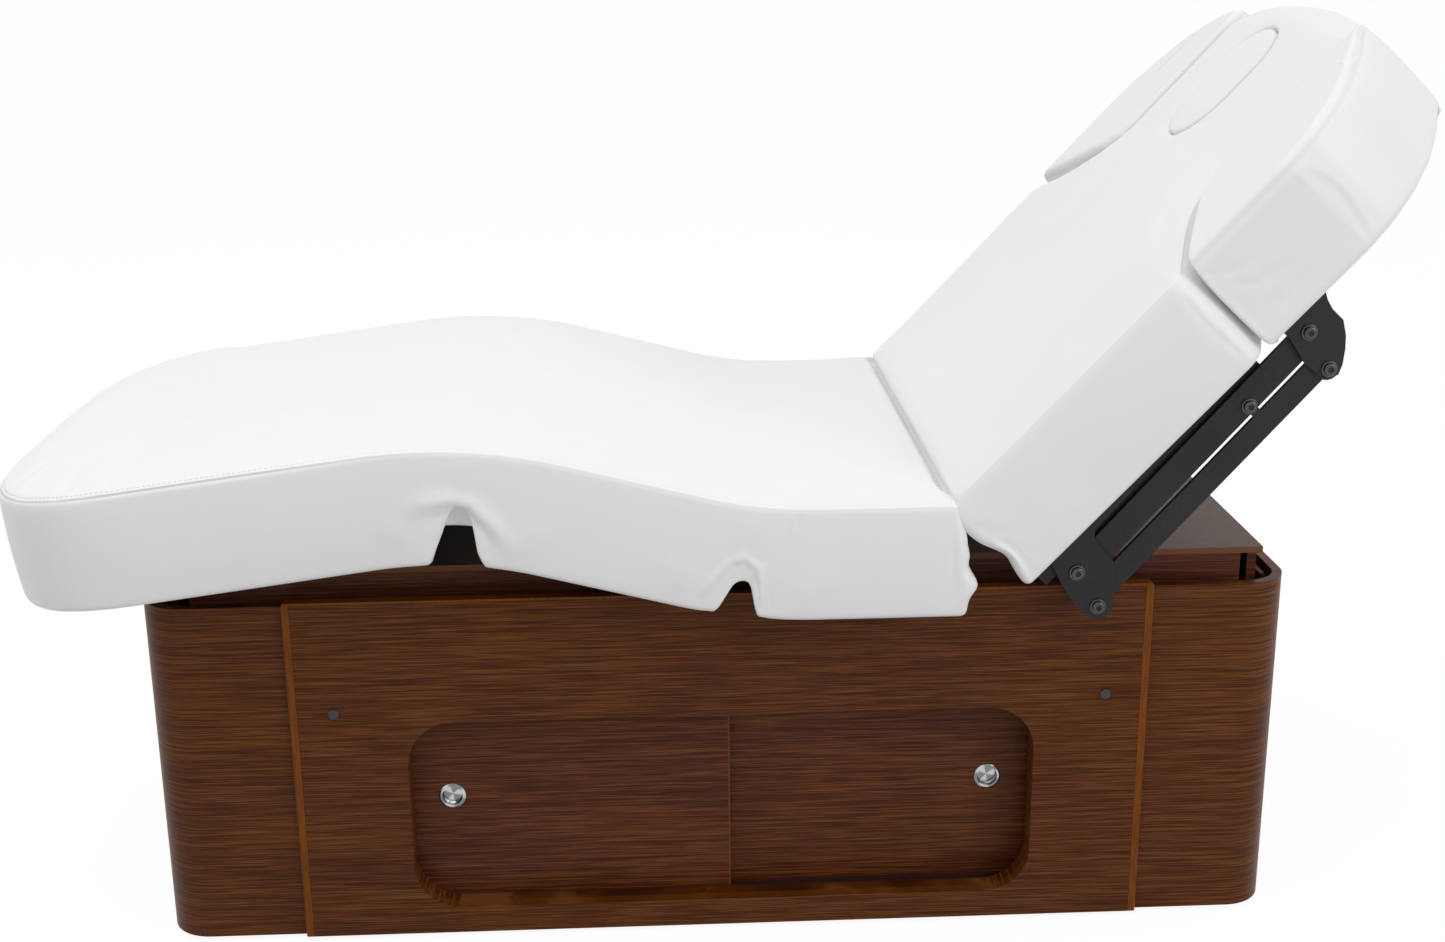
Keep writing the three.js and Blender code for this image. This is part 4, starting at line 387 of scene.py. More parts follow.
def chrome_painted_reflection(name, colour, x0, z0):
    """Chrome with a painted reflection: light and dark wedges painted round (x0, z0), where turned
    chrome reflects its surroundings.
    """
    finish = Finish(name)
    x, _, z = finish.parts(finish.place())
    angle = z.sum("ARCTAN2", z - z0, x - x0)
    reflection_wedge = angle.sum("SINE", angle * 3.0 + 0.9, 0.0)
    marks = finish.noise((700, 700, 700))
    # Painted reflection: the wedges lighten and darken the chrome's colour by their angle round the
    # middle.
    base = finish.mix(reflection_wedge.ease(-0.3, 0.8), tint(colour, 0.3), tint(colour, 0.75))
    return finish.done(base, marks.ease(0.3, 0.7, 0.16, 0.24), marks, 0.06, 0.0001, metallic=1.0)


def moulded(name, colour, rough=0.45):
    """Moulded plastic or rubber with a light satin texture."""
    finish = Finish(name)
    texture = finish.noise((1, 1, 1), size=1400.0)
    cloud = finish.noise((14, 14, 14))
    base = finish.mix(cloud.ease(0.35, 0.65), tint(colour, 0.88), tint(colour, 1.12))
    return finish.done(base, texture.ease(0.3, 0.7, rough, rough + 0.12), texture, 0.14, 0.0002)


def finish_nodes(names, material):
    """Gives CAD nodes a material by their slots alone."""
    for name in names:
        node = frame["nodes"][name]
        if not node.material_slots:
            node.data.materials.append(material)
        for slot in node.material_slots:
            slot.material = material


# Soft covers

def crown_height(share):
    """Smooth rise over the seam, from 0 at the seam to 1 at the middle."""
    xs, ys = np.array(CROWN_SHARES, float).T
    slope = np.gradient(ys, xs)
    slope[0] = CROWN_START
    slope[-1] = slope[-2] = 0.0
    share = np.clip(share, 0, 1)
    k = np.clip(np.searchsorted(xs, share, side="right") - 1, 0, len(xs) - 2)
    step = xs[k + 1] - xs[k]
    t = (share - xs[k]) / step
    limit = 3 * np.abs((ys[k + 1] - ys[k]) / step)
    a, b = np.minimum(slope[k], limit), np.minimum(slope[k + 1], limit)
    return (
        (2 * t**3 - 3 * t**2 + 1) * ys[k] + (t**3 - 2 * t**2 + t) * step * a
        + (-2 * t**3 + 3 * t**2) * ys[k + 1] + (t**3 - t**2) * step * b
    )


def ease(t):
    t = np.clip(t, 0, 1)
    return t * t * (3 - 2 * t)


def resample(points, step):
    """Points along a polyline, no further apart than step, its own corners kept."""
    points = np.array(points, float)
    out = [points[0]]
    for a, b in zip(points[:-1], points[1:]):
        count = max(1, int(math.ceil(np.linalg.norm(b - a) / step)))
        out += [a + (b - a) * k / count for k in range(1, count + 1)]
    return np.array(out)


def bezier(points, count):
    t = np.linspace(0, 1, count)[:, None]
    p = [np.array(q, float) for q in points]
    if len(p) == 3:
        return (1 - t) ** 2 * p[0] + 2 * t * (1 - t) * p[1] + t**2 * p[2]
    first = (1 - t) ** 3 * p[0] + 3 * t * (1 - t) ** 2 * p[1]
    return first + 3 * t**2 * (1 - t) * p[2] + t**3 * p[3]


def rounded(corner, before, after, radius):
    """A curve of seven points that rounds a corner between two directions."""
    corner, before, after = (np.array(v, float) for v in (corner, before, after))
    a = (before - corner) / np.linalg.norm(before - corner)
    b = (after - corner) / np.linalg.norm(after - corner)
    return bezier([corner + a * radius, corner, corner + b * radius], 7)


def lengths_along(points):
    return np.concatenate([[0], np.cumsum(np.linalg.norm(np.diff(points, axis=0), axis=1))])


def square_to(ahead):
    normal = np.stack([ahead[:, 1], -ahead[:, 0]], 1)
    return normal / np.linalg.norm(normal, axis=1)[:, None]


def plan_normals(outline):
    """Outward normals of an open half outline that runs from end to end."""
    normal = square_to(np.gradient(outline, axis=0))
    return -normal if normal[len(outline) // 3, 1] < 0 else normal


# Shares of the way from the seam to the middle of the top, and from the seam down the wall.
TOP_ROWS = (
    1, 0.9, 0.78, 0.66, 0.54, 0.44, 0.35, 0.27, 0.2, 0.145, 0.1, 0.068, 0.045, 0.028, 0.017, 0.01,
    0.005,
)
WALL_ROWS = (
    0.018, 0.035, 0.065, 0.11, 0.17, 0.24, 0.31, 0.38, 0.45, 0.52, 0.59, 0.66, 0.73, 0.8, 0.86,
    0.91,
)
EDGE_TURNS = (0.3, 0.6, 0.85, 1.0)
HOLE_SHARES = (0.33, 0.66)
THIN_EDGE = 3.5


def cover_rows(outline, target, normals, lower, seam, crown, bulge, edge=EDGE, hole=None,
               under=None, skirt=SKIRT, ref=None, flap=None, roll=0.0, seam_in=2.8, soften=0.0):
    """Rows of a cover in its own flat frame, from the middle of the top, over the seam,
    down the wall, round the lower edge and up the inside of the skirt to the foam.
    outline and target are plan points; lower gives each station's shift, lowest z and
    thinness of the edge. Gives the rows, how far each is from the seam, and how far along."""
    n = len(outline)
    reach = np.linalg.norm(target - outline, axis=1)
    ref = reach if ref is None else ref
    inward = (target - outline) / np.maximum(reach, 1e-6)[:, None]
    seam_in = np.broadcast_to(seam_in, (n,))
    rows, spread = [], []

    def add(plan, z, off):
        rows.append(np.column_stack([plan, np.broadcast_to(z, (n,))]))
        spread.append(off)

    for share in TOP_ROWS:
        away = share * reach
        draw = seam_in * np.exp(-(away / 5.0)) + soften * np.exp(-(away / 11.0))
        z = seam + crown * crown_height(away / np.maximum(ref, 1e-6))
        if roll:
            near = np.clip(1 - (1 - share) * reach / (2.2 * roll), 0, 1)
            z = z - np.where(hole, roll * (1 - np.sqrt(1 - near**2)), 0)
        add(outline + (target - outline) * share - normals * draw[:, None], z, -away)
    add(outline - normals * (seam_in * 1.35 + soften)[:, None], seam, np.zeros(n))
    shift, low, thin = lower.T
    radius = edge * (1 - thin) + THIN_EDGE * thin
    for share in WALL_ROWS:
        fall = (seam - low - radius) * share / WALL_ROWS[-1]
        draw = -seam_in * np.exp(-fall / 4.0) - soften * np.exp(-fall / 15.0)
        out = bulge * np.sin(np.pi * np.clip(share / 0.96, 0, 1)) ** 0.8
        p = outline + normals * (draw + out)[:, None]
        p[:, 0] += shift * (share / WALL_ROWS[-1]) ** 1.25
        add(p, seam - fall, fall)
    base = rows[-1]
    for turn in EDGE_TURNS:
        angle = turn * math.pi / 2
        p = base[:, :2] - normals * (radius * (1 - math.cos(angle)))[:, None]
        add(p, base[:, 2] - radius * math.sin(angle), spread[-1] + radius * 0.4)
    inner = low if flap is None else np.minimum(low, flap)
    for share in (0.5, 1.0):
        p = outline + inward * (radius + (skirt - radius) * share)[:, None]
        p[:, 0] += shift
        if flap is not None and share < 1:
            add(p, low, spread[-1] + 10)
            add(p, inner, spread[-1] + 10)
            p = p + inward * 5
        add(p, inner, spread[-1] + 15)
    last = rows[-1]
    roof = np.full(n, seam - FOAM if under is None else under)
    top = np.column_stack([outline + inward * skirt, roof])
    for share in (0.5, 1.0):
        p = last + (top - last) * share
        add(p[:, :2], p[:, 2], spread[-1] + 30)
    for share in (0.4, 1.0):
        add(top[:, :2] + (target - top[:, :2]) * share, roof, spread[-1] + 60)
    if hole is not None:
        bottom = rows[-1]
        for share in HOLE_SHARES:
            p = bottom + (rows[0] - bottom) * share
            add(p[:, :2], p[:, 2], spread[-1] + 20)
    return np.array(rows), np.array(spread), lengths_along(outline)


def skin(name, made, place, hole=None, closed=False):
    """A closed quad mesh from the rows of one half, mirrored to the other side, with a
    UV map that runs along the seam and away from it. place moves flat points to rest."""
    rows, spread, along = made
    count, n, _ = rows.shape
    solid = count if hole is None else count - len(HOLE_SHARES)
    ends = np.append(along[1:], along[-1] + np.linalg.norm(rows[0, 0, :2] - rows[0, -1, :2]))
    verts, faces, uvs = [], [], []
    for side in (1,) if closed else (-1, 1):
        start = len(verts)
        verts += (rows * np.array([1, side, 1])).reshape(-1, 3).tolist()
        for i in range(n if closed else n - 1):
            j = (i + 1) % n
            steps = [(r, r + 1) for r in range(solid - 1)]
            if hole is not None and hole[i] and hole[j]:
                steps = [(r, (r + 1) % count) for r in range(count)]
            for r, q in steps:
                quad = [start + r * n + i, start + r * n + j, start + q * n + j, start + q * n + i]
                corner = [(along[i], spread[r, i]), (ends[i], spread[r, j]),
                          (ends[i], spread[q, j]), (along[i], spread[q, i])]
                if side < 0:
                    quad.reverse()
                    corner.reverse()
                faces.append(quad)
                uvs.append(corner)
    mesh = bpy.data.meshes.new(name)
    mesh.from_pydata((place(np.array(verts)) * MM).tolist(), [], faces)
    layer = mesh.uv_layers.new(name="seam")
    layer.data.foreach_set("uv", (np.array(uvs).reshape(-1) * MM).astype(np.float32))
    obj = bpy.data.objects.new(name, mesh)
    bpy.context.scene.collection.objects.link(obj)
    work = bmesh.new()
    work.from_mesh(mesh)
    bmesh.ops.remove_doubles(work, verts=work.verts, dist=0.05 * MM)
    bmesh.ops.dissolve_degenerate(work, edges=work.edges, dist=0.01 * MM)
    bmesh.ops.recalc_face_normals(work, faces=work.faces)
    work.to_mesh(mesh)
    work.free()
    mesh.polygons.foreach_set("use_smooth", [True] * len(mesh.polygons))
    return obj


def deselect():
    """Deselects everything, because an operator acts on all that is selected."""
    for other in bpy.context.selected_objects:
        other.select_set(False)


def chosen(obj):
    """Makes obj the only selected and the active object."""
    deselect()
    obj.select_set(True)
    bpy.context.view_layer.objects.active = obj


def points_of(mesh):
    """A mesh's points in millimetres."""
    co = np.zeros(len(mesh.vertices) * 3, np.float32)
    mesh.vertices.foreach_get("co", co)
    return co.reshape(-1, 3).astype(float) / MM


def put_points(obj, points):
    obj.data.vertices.foreach_set("co", (points * MM).astype(np.float32).reshape(-1))
    obj.data.update()


def applied(obj, kind, **settings):
    """Adds a modifier to obj and applies it."""
    chosen(obj)
    made = obj.modifiers.new("made", kind)
    for key, value in settings.items():
        setattr(made, key, value)
    bpy.ops.object.modifier_apply(modifier=made.name)


PRESSURE = 3.5
FRAMES = 14


def swell(obj, free, cap):
    """Lets the cover swell as cloth under a light pressure, its seams and hems pinned."""
    before = points_of(obj.data)
    group = obj.vertex_groups.new(name="pinned")
    group.add(np.nonzero(~free)[0].tolist(), 1.0, "REPLACE")
    chosen(obj)
    cloth = obj.modifiers.new("cloth", "CLOTH")
    setting = cloth.settings
    setting.quality = 4
    setting.mass = 0.4
    setting.tension_stiffness = setting.compression_stiffness = 25
    setting.bending_stiffness = 4
    setting.use_pressure = True
    setting.uniform_pressure_force = PRESSURE
    setting.vertex_group_mass = group.name
    setting.effector_weights.gravity = 0
    cloth.collision_settings.use_collision = False
    scene = bpy.context.scene
    cloth.point_cache.frame_start = 1
    cloth.point_cache.frame_end = FRAMES
    for number in range(1, FRAMES + 1):
        scene.frame_set(number)
    evaluated = obj.evaluated_get(bpy.context.evaluated_depsgraph_get())
    shift = points_of(evaluated.to_mesh()) - before
    evaluated.to_mesh_clear()
    obj.modifiers.remove(cloth)
    obj.vertex_groups.remove(group)
    scene.frame_set(1)
    length = np.linalg.norm(shift, axis=1)
    keep = cap * np.tanh(length / cap) / np.maximum(length, 1e-6)
    put_points(obj, before + shift * keep[:, None])


def filled(obj, unplace, free, cap):
    """Swells a cover where free says so of its flat points, then subdivides it.
    Gives its points at rest and flat."""
    swell(obj, free(unplace(points_of(obj.data))), cap)
    applied(obj, "SUBSURF", levels=1, render_levels=1, boundary_smooth="PRESERVE_CORNERS")
    points = points_of(obj.data)
    return points, unplace(points)


def side_wall(flat, seam):
    """The points of a cover's long side walls, clear of the seam and the lower edge."""
    inside = (flat[:, 2] < seam - 9) & (flat[:, 2] > seam - DEPTH + 14)
    return inside & (np.abs(flat[:, 1]) > HALF - 3)


def crease(flat, line, width, amount, fade):
    """How far points move for a ridge or groove that follows a line in X and Z."""
    line = np.array(line, float)
    best = np.full(len(flat), 1e9)
    share = np.zeros(len(flat))
    lengths = np.linalg.norm(np.diff(line, axis=0), axis=1)
    total = lengths.sum()
    run = 0.0
    for a, b, length in zip(line[:-1], line[1:], lengths):
        ab = b - a
        t = np.clip(((flat - a) @ ab) / (ab @ ab), 0, 1)
        d = np.linalg.norm(flat - (a + t[:, None] * ab), axis=1)
        closer = d < best
        best = np.where(closer, d, best)
        share = np.where(closer, (run + t * length) / total, share)
        run += length
    taper = ease(share / fade) * ease((1 - share) / fade)
    return amount * np.exp(-((best / width) ** 2)) * taper


def drape(points, flat, lines, wall):
    """Moves the side walls out and in along the lines, by the weight wall."""
    move = sum(crease(flat[:, (0, 2)], *line) for line in lines)
    points[:, 1] += np.sign(points[:, 1]) * wall * move


def dress(piece, material):
    """Gives a piece its material under the slot's name."""
    piece.data.materials.append(material)


@functools.cache
def plain_leather():
    return leather("white_leather", 0.1)


def dress_cover(piece, body, nodes):
    """Gives a cover its leather and its body, and hides the CAD nodes that it stands for."""
    dress(piece, plain_leather())
    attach(piece, body)
    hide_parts(*nodes)


# The bent leg and seat

# How far the covers round off, and how far they bend, before and after each axis.
KNEE_ROUND = 122.0
HIP_ROUND = 70.0


def turned(points, angle, place=0.0):
    """Points turned by angle in X and Z about (place, 0)."""
    x, z = points[:, 0] - place, points[:, 2]
    out = points.copy()
    out[:, 0] = place + x * np.cos(angle) - z * np.sin(angle)
    out[:, 2] = x * np.sin(angle) + z * np.cos(angle)
    return out


def folded(points, place, angle, reach):
    """Turns the part before place by angle about it, over a parabola that rounds the corner."""
    out = np.where((points[:, 0] < place)[:, None], turned(points, angle, place), points)
    inside = np.abs(points[:, 0] - place) < reach
    near = points[inside]
    t = ((near[:, 0] - place + reach) / (2 * reach))[:, None]
    corner = np.array([place - SEAM * math.tan(angle / 2), SEAM])
    start = turned(np.array([[place - reach, 0.0, SEAM]]), angle, place)[0, (0, 2)]
    end = np.array([place + reach, SEAM])
    middle = (1 - t) ** 2 * start + 2 * t * (1 - t) * corner + t**2 * end
    ahead = 2 * (1 - t) * (corner - start) + 2 * t * (end - corner)
    ahead /= np.linalg.norm(ahead, axis=1)[:, None]
    height = near[:, 2] - SEAM
    near = near.copy()
    near[:, 0] = middle[:, 0] - ahead[:, 1] * height
    near[:, 2] = middle[:, 1] + ahead[:, 0] * height
    out[inside] = near
    return out


def leg_angle(x):
    """How far a flat place along the leg is turned at rest."""
    knee = np.clip((KNEE_FLAT + KNEE_ROUND - x) / (2 * KNEE_ROUND), 0, 1) * (CALF_TILT - THIGH_TILT)
    return knee + np.clip((HIP_ROUND - x) / (2 * HIP_ROUND), 0, 1) * THIGH_TILT


def leg_place(points):
    """Flat leg and seat points, X from the hip and Z from its axis, to the rest pose."""
    out = folded(points, KNEE_FLAT, CALF_TILT - THIGH_TILT, KNEE_ROUND)
    near = points[:, 0] > -2 * HIP_ROUND
    seat = folded(points, 0.0, THIGH_TILT, HIP_ROUND)
    return np.where(near[:, None], seat, turned(out, THIGH_TILT)) + HIP


def leg_unplace(points):
    """Rest points of the leg and seat back to the flat frame."""
    flat = points - HIP
    for _ in range(12):
        flat = flat + turned(points - leg_place(flat), -leg_angle(flat[:, 0]))
    return flat


def back_place(points):
    """Backrest points, X up the backrest and Z square to it, to the rest pose."""
    return turned(points, BACK_TILT) + BACK


def back_unplace(points):
    """Rest points of the backrest back to its flat frame."""
    return turned(points - BACK, -BACK_TILT)


def section_axis(axis):
    """The rest place of an axis that is at X = axis in the thigh's frame."""
    return turned(np.array([[axis, 0.0, 0.0]]), THIGH_TILT)[0] + HIP


SEAT_END = BACK[0] - HIP[0] + 2.0
BOTTOM = SEAM - DEPTH
# The arches at rest, as places in X and Z from the axis, and the run of their ends.
KNEE_ARCH = (
    (-37, -134), (-34, -124), (-29, -111), (-24, -99), (-19.5, -87), (-15.5, -77), (-11, -69),
    (-5, -64.5), (1.5, -66), (7, -72.5), (11, -83), (13.5, -97), (15, -110), (16.5, -123),
    (20, -134),
)
HIP_ARCH = (
    (-65, -125), (-58, -119), (-51, -109), (-45, -98), (-39, -88), (-34, -80), (-28, -75.5),
    (-21, -74.5), (-15, -77), (-12, -84), (-10.5, -93), (-9, -104), (-7, -114), (-4.5, -122),
    (0, -128),
)
ARCH_RUN = 22.0
# Between the sides the covers' ends over the cabinet are only as deep as the foam.
OPEN_HALF = 346.0
SEAT_REAR = -59.0
BACK_FRONT = -28.0


def flat_arch(shape, axis):
    """An arch drawn round its axis at rest, as places in the flat frame."""
    rest = np.array([[x, 0.0, z] for x, z in shape], float)
    flat = leg_unplace(rest + section_axis(axis))[:, (0, 2)]
    low = np.array([[flat[0, 0] - ARCH_RUN, BOTTOM], [flat[0, 0] - 7, BOTTOM + 0.5]])
    high = np.array([[flat[-1, 0] + 7, BOTTOM + 0.5], [flat[-1, 0] + ARCH_RUN, BOTTOM]])
    flat[:, 1] = np.maximum(flat[:, 1], BOTTOM + 1.5)
    return np.vstack([low, flat, high])


def leg_stations():
    """The half outline from the foot tip to the middle of the seat's rear, and the lower
    edge of each station: its shift, its z and how thin it is."""
    plan, lower = [], []

    def add(points, shift=0.0, low=BOTTOM):
        plan.append(points)
        lower.append(np.column_stack([np.broadcast_to(v, (len(points),)) for v in (shift, low)]))

    def straight(x0, x1, step=9.0):
        count = max(1, int(round((x1 - x0) / step)))
        xs = np.linspace(x0, x1, count + 1)[1:]
        add(np.column_stack([xs, np.full(count, HALF)]))

    def arch(shape):
        dense = resample(shape, 4.2)
        x = dense[:, 0]
        lengths = lengths_along(dense)
        share = 0.55 * lengths / lengths[-1] + 0.45 * (x - x[0]) / (x[-1] - x[0])
        xs = (x[0] + share * (x[-1] - x[0]))[1:]
        add(np.column_stack([xs, np.full(len(xs), HALF)]), x[1:] - xs, dense[1:, 1])

    tip = bezier([(-591, 0), (-591, 75), (-587.5, 160)], 15)
    side = bezier([(-587.5, 160), (-579, 322), (-528, HALF), (-404.3, HALF)], 34)
    add(resample(np.vstack([tip, side[1:]]) + np.array([KNEE_FLAT, 0]), 9.0))
    knee, hip = flat_arch(KNEE_ARCH, KNEE_FLAT), flat_arch(HIP_ARCH, 0.0)
    straight(KNEE_FLAT - 404.3, knee[0, 0])
    arch(knee)
    straight(knee[-1, 0], hip[0, 0])
    arch(hip)
    straight(hip[-1, 0], SEAT_END - 11)
    corner = rounded((SEAT_END, HALF), (0, HALF), (SEAT_END, 0), 11.0)[1:]
    rear = resample([corner[-1], (SEAT_END, 0)], 13.0)[1:]
    add(corner)
    add(rear, 0.0, np.where(rear[:, 1] < OPEN_HALF, SEAT_REAR, BOTTOM))
    plan = np.vstack(plan)
    lower = np.vstack(lower)
    thin = np.where(plan[:, 0] < SEAT_END - 1, ease((lower[:, 1] - BOTTOM) / 26.0), 0)
    return plan, np.column_stack([lower, thin])


def seat_end_shape(x, z, wall):
    """The small lobe and hollow down the seat's rear edge."""
    lobe = 10.0 * np.exp(-(((z + 89) / 13) ** 2)) - 2.5 * np.exp(-(((z + 62) / 10) ** 2))
    lobe += 4.0 * ease((-z - 34) / 22) - 7.0 * ease((z + 34) / 40)
    near = ease((x - (SEAT_END - 24)) / 22)
    return lobe * near * wall


def leg_rows():
    """Rows of the cover over the calf, thigh and seat, in their flat frame."""
    plan, lower = leg_stations()
    spine0, spine1 = KNEE_FLAT - 321.0, SEAT_END - 150.0
    target = np.column_stack([np.clip(plan[:, 0], spine0, spine1), np.zeros(len(plan))])
    return cover_rows(
        plan, target, plan_normals(plan), lower, SEAM, sizes().crown / MM, sizes().bulge / MM,
        flap=np.where(plan[:, 0] < SEAT_END - 1, -84.0, 0.0),
        seam_in=1.0 + 1.8 * ease((-plan[:, 0] - 420) / 240),
    )


# Folds of the side walls: each a line in flat X and Z, its width, how far it stands out,
# and the share of each end that fades. The first are drawn from the knee.
KNEE_LINES = (
    (((-76, -66), (-46, -50), (-14, -45), (16, -50), (48, -72), (86, -108)), 11.0, 5.2, 0.3),
    (((-56, -82), (-30, -64), (-6, -57), (14, -60), (38, -82), (54, -104)), 7.0, -2.4, 0.3),
    (((-30, -96), (-21, -72), (-8, -58), (4, -58), (16, -72), (22, -96)), 3.0, 1.6, 0.15),
    (((-10, -66), (-2, -58), (8, -62)), 2.6, -1.6, 0.3),
    (((60, -118), (90, -88), (130, -60)), 18.0, 1.5, 0.4),
    (((-62, -116), (-80, -84), (-112, -56)), 18.0, 1.3, 0.4),
)
HIP_LINES = (
    (((-52, -112), (-42, -84), (-30, -62), (-14, -52), (4, -62), (8, -86), (10, -116)),
     4.6, 2.4, 0.15),
    (((-32, -70), (-24, -60), (-14, -62)), 2.8, -1.7, 0.3),
    (((-20, -58), (-12, -56), (-6, -64)), 2.4, -1.3, 0.3),
    (((-40, -98), (-34, -80), (-26, -68)), 2.4, -1.0, 0.25),
    (((2, -72), (7, -92), (8, -120)), 2.3, -1.4, 0.2),
    (((9, -78), (13, -98), (13, -122)), 2.6, -1.0, 0.2),
    (((16, -84), (20, -102), (20, -122)), 3.0, -0.7, 0.2),
    (((44, 9), (42, -2), (43, -15)), 2.0, -1.3, 0.3),
    (((38, 8), (36, -3), (37, -18)), 2.4, 0.9, 0.3),
    (((-60, -112), (-78, -84), (-108, -66)), 16.0, 1.4, 0.4),
    (((36, -112), (62, -86), (96, -70)), 16.0, 1.1, 0.4),
)
SEAT_LINES = (
    (((SEAT_END - 15, -14), (SEAT_END - 16, -70), (SEAT_END - 14, -124)), 2.4, -1.3, 0.15),
    (((SEAT_END - 9, -20), (SEAT_END - 9, -70), (SEAT_END - 8, -124)), 4.0, 1.2, 0.15),
)


def head_reach(points, flat, most):
    """The covers run a little further out than the cushions at the head end."""
    move = most * ease((flat[:, 0] - 520) / 225)
    return points + move[:, None] * np.array([math.cos(BACK_TILT), 0, math.sin(BACK_TILT)])


SPLIT = KNEE_FLAT * 0.5


def split_cover(obj, name, keep_high):
    """A copy of the leg and seat cover on one side of the middle of the thigh, its open
    end closed and the rim kept sharp for shading."""
    made = bpy.data.objects.new(name, obj.data.copy())
    bpy.context.scene.collection.objects.link(made)
    point = leg_place(np.array([[SPLIT, 0.0, 0.0]]))[0] * MM
    work = bmesh.new()
    work.from_mesh(made.data)
    bmesh.ops.bisect_plane(
        work, geom=work.verts[:] + work.edges[:] + work.faces[:], plane_co=point,
        plane_no=(math.cos(THIGH_TILT), 0, math.sin(THIGH_TILT)),
        clear_inner=keep_high, clear_outer=not keep_high,
    )
    rim = [edge for edge in work.edges if edge.is_boundary]
    cap = bmesh.ops.holes_fill(work, edges=rim, sides=0)["faces"]
    for part in rim + cap:
        part.smooth = False
    work.to_mesh(made.data)
    work.free()
    return made


class TABLE_OT_leg_cover(bpy.types.Operator):
    """Adds the white cover of the calf, thigh and seat sections, in two pieces"""
    bl_idname = "table.leg_cover"
    bl_label = "Leg and seat cover"

    def execute(self, context):
        whole = skin("leg_whole", leg_rows(), leg_place)

        def free(flat):
            top = (flat[:, 2] > SEAM + 2) & (np.abs(flat[:, 1]) < HALF - 4)
            return top | side_wall(flat, SEAM)

        points, flat = filled(whole, leg_unplace, free, 4.0)
        knee = [(np.array(line) + (KNEE_FLAT, 0), *rest) for line, *rest in KNEE_LINES]
        wall = (np.abs(points[:, 1]) > HALF - 9) & (flat[:, 2] < SEAM + 4)
        drape(points, flat, (*knee, *HIP_LINES, *SEAT_LINES), wall)
        flat = leg_unplace(points)
        edge = (np.abs(flat[:, 1]) > HALF - 60) & (flat[:, 2] < SEAM)
        points[:, 0] += seat_end_shape(flat[:, 0], flat[:, 2], edge)
        start = SEAT_END - 33 + 19 * ease((np.abs(flat[:, 1]) - 340) / 40)
        points[:, 2] -= 13.0 * ease((flat[:, 0] - start) / 8) * ease((flat[:, 2] - SEAM) / 5)
        put_points(whole, points)
        # The last 25 mm of the seat's top get painted shade for its crease with the backrest.
        white = leather("sewn_leather", 1.0, 0.22, (HIP[0] + SEAT_END - 25) * MM)
        for name, high, bodies, axis, tilt, nodes in (
            ("calf_thigh_cover", False, ("calf", "thigh"), KNEE_FLAT,
             (THIGH_TILT + CALF_TILT) / 2, ("calf_cushion", "thigh_cushion")),
            ("thigh_seat_cover", True, ("thigh", "carriage"), 0.0, THIGH_TILT / 2,
             ("seat_cushion",)),
        ):
            piece = split_cover(whole, name, high)
            dress(piece, white)
            centre = Vector(section_axis(axis) * MM)
            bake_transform(piece)
            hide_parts(*nodes)
        bpy.data.objects.remove(whole)
        return {"FINISHED"}


# Backrest, pads and plug

BACK_SEAM = 34.0
HEAD_END = 770.0
# The face hole, from and to along the backrest, and the radius of its ends.
HOLE = (537.0, 712.0, 64.0)


def stadium_half(x0, x1, radius, grow, count):
    """Half of a stadium from its low end round the side to its high end."""
    r = radius + grow
    turns = np.linspace(0, math.pi / 2, count)
    low = [(x0 + radius - r * math.cos(a), r * math.sin(a)) for a in turns]
    high = [(x1 - radius + r * math.sin(a), r * math.cos(a)) for a in turns]
    return np.array(low + high)


def back_stations():
    """Half outline of the backrest from the middle of its lower end to the head end."""
    low = 3.0
    lower = resample([(low, 0), (low, HALF - 12)], 14.0)
    corner = rounded((low, HALF), (low, 0), (200, HALF), 12.0)
    side = resample([corner[-1], (366, HALF)], 10.0)
    shoulder_corner = bezier([(366, HALF), (386, HALF), (396, 369)], 9)
    shoulder = bezier([(396, 369), (432, 296), (452, TONGUE + 18), (530, TONGUE)], 24)
    neck = resample([(530, TONGUE), (722, TONGUE)], 9.0)
    head = bezier([(722, TONGUE), (758, TONGUE), (HEAD_END, 120), (HEAD_END, 0)], 30)
    rest = (corner, side, shoulder_corner, shoulder, neck, head)
    return np.vstack([lower, *(part[1:] for part in rest)])


def back_lower(plan):
    """The lower edge of each station of the backrest's cover."""
    open_end = (plan[:, 0] < 4) & (plan[:, 1] < OPEN_HALF)
    low = np.where(open_end, BACK_FRONT, BACK_SEAM - DEPTH)
    return np.column_stack([np.zeros(len(plan)), low, np.zeros(len(plan))])


SPINE_START = 150.0


def back_targets(plan):
    """Where each station's line over the top ends: on the spine, or on the face hole."""
    rim = stadium_half(*HOLE, 1.4, 15)
    first = int(np.argmin(np.abs(plan[:, 0] - 470) + np.where(plan[:, 1] > 1, 0, 1e6)))
    target = np.zeros_like(plan)
    hole = np.zeros(len(plan), bool)
    places = [0, SPINE_START, plan[first, 0]], [SPINE_START, SPINE_START, rim[0, 0]]
    target[: first + 1, 0] = np.interp(plan[: first + 1, 0], *places)
    run, rim_run = lengths_along(plan[first:]), lengths_along(rim)
    for k in range(2):
        target[first:, k] = np.interp(run / run[-1], rim_run / rim_run[-1], rim[:, k])
    hole[first:] = True
    return target, hole


BACK_LINES = (
    (((9, -30), (15, -52), (12, -78), (4, -96)), 7.0, 2.2, 0.2),
    (((20, -26), (26, -54), (22, -84), (14, -104)), 4.0, -1.6, 0.2),
    (((14, 6), (20, -8), (34, -20)), 3.0, -1.2, 0.3),
    (((12, -8), (24, -24), (44, -34)), 3.2, -1.1, 0.3),
    (((372, 30), (366, -20), (370, -98)), 3.4, -0.9, 0.2),
    (((378, -40), (352, -62), (322, -72)), 5.0, -1.0, 0.3),
    (((40, -80), (90, -64), (150, -70)), 18.0, 1.4, 0.4),
)


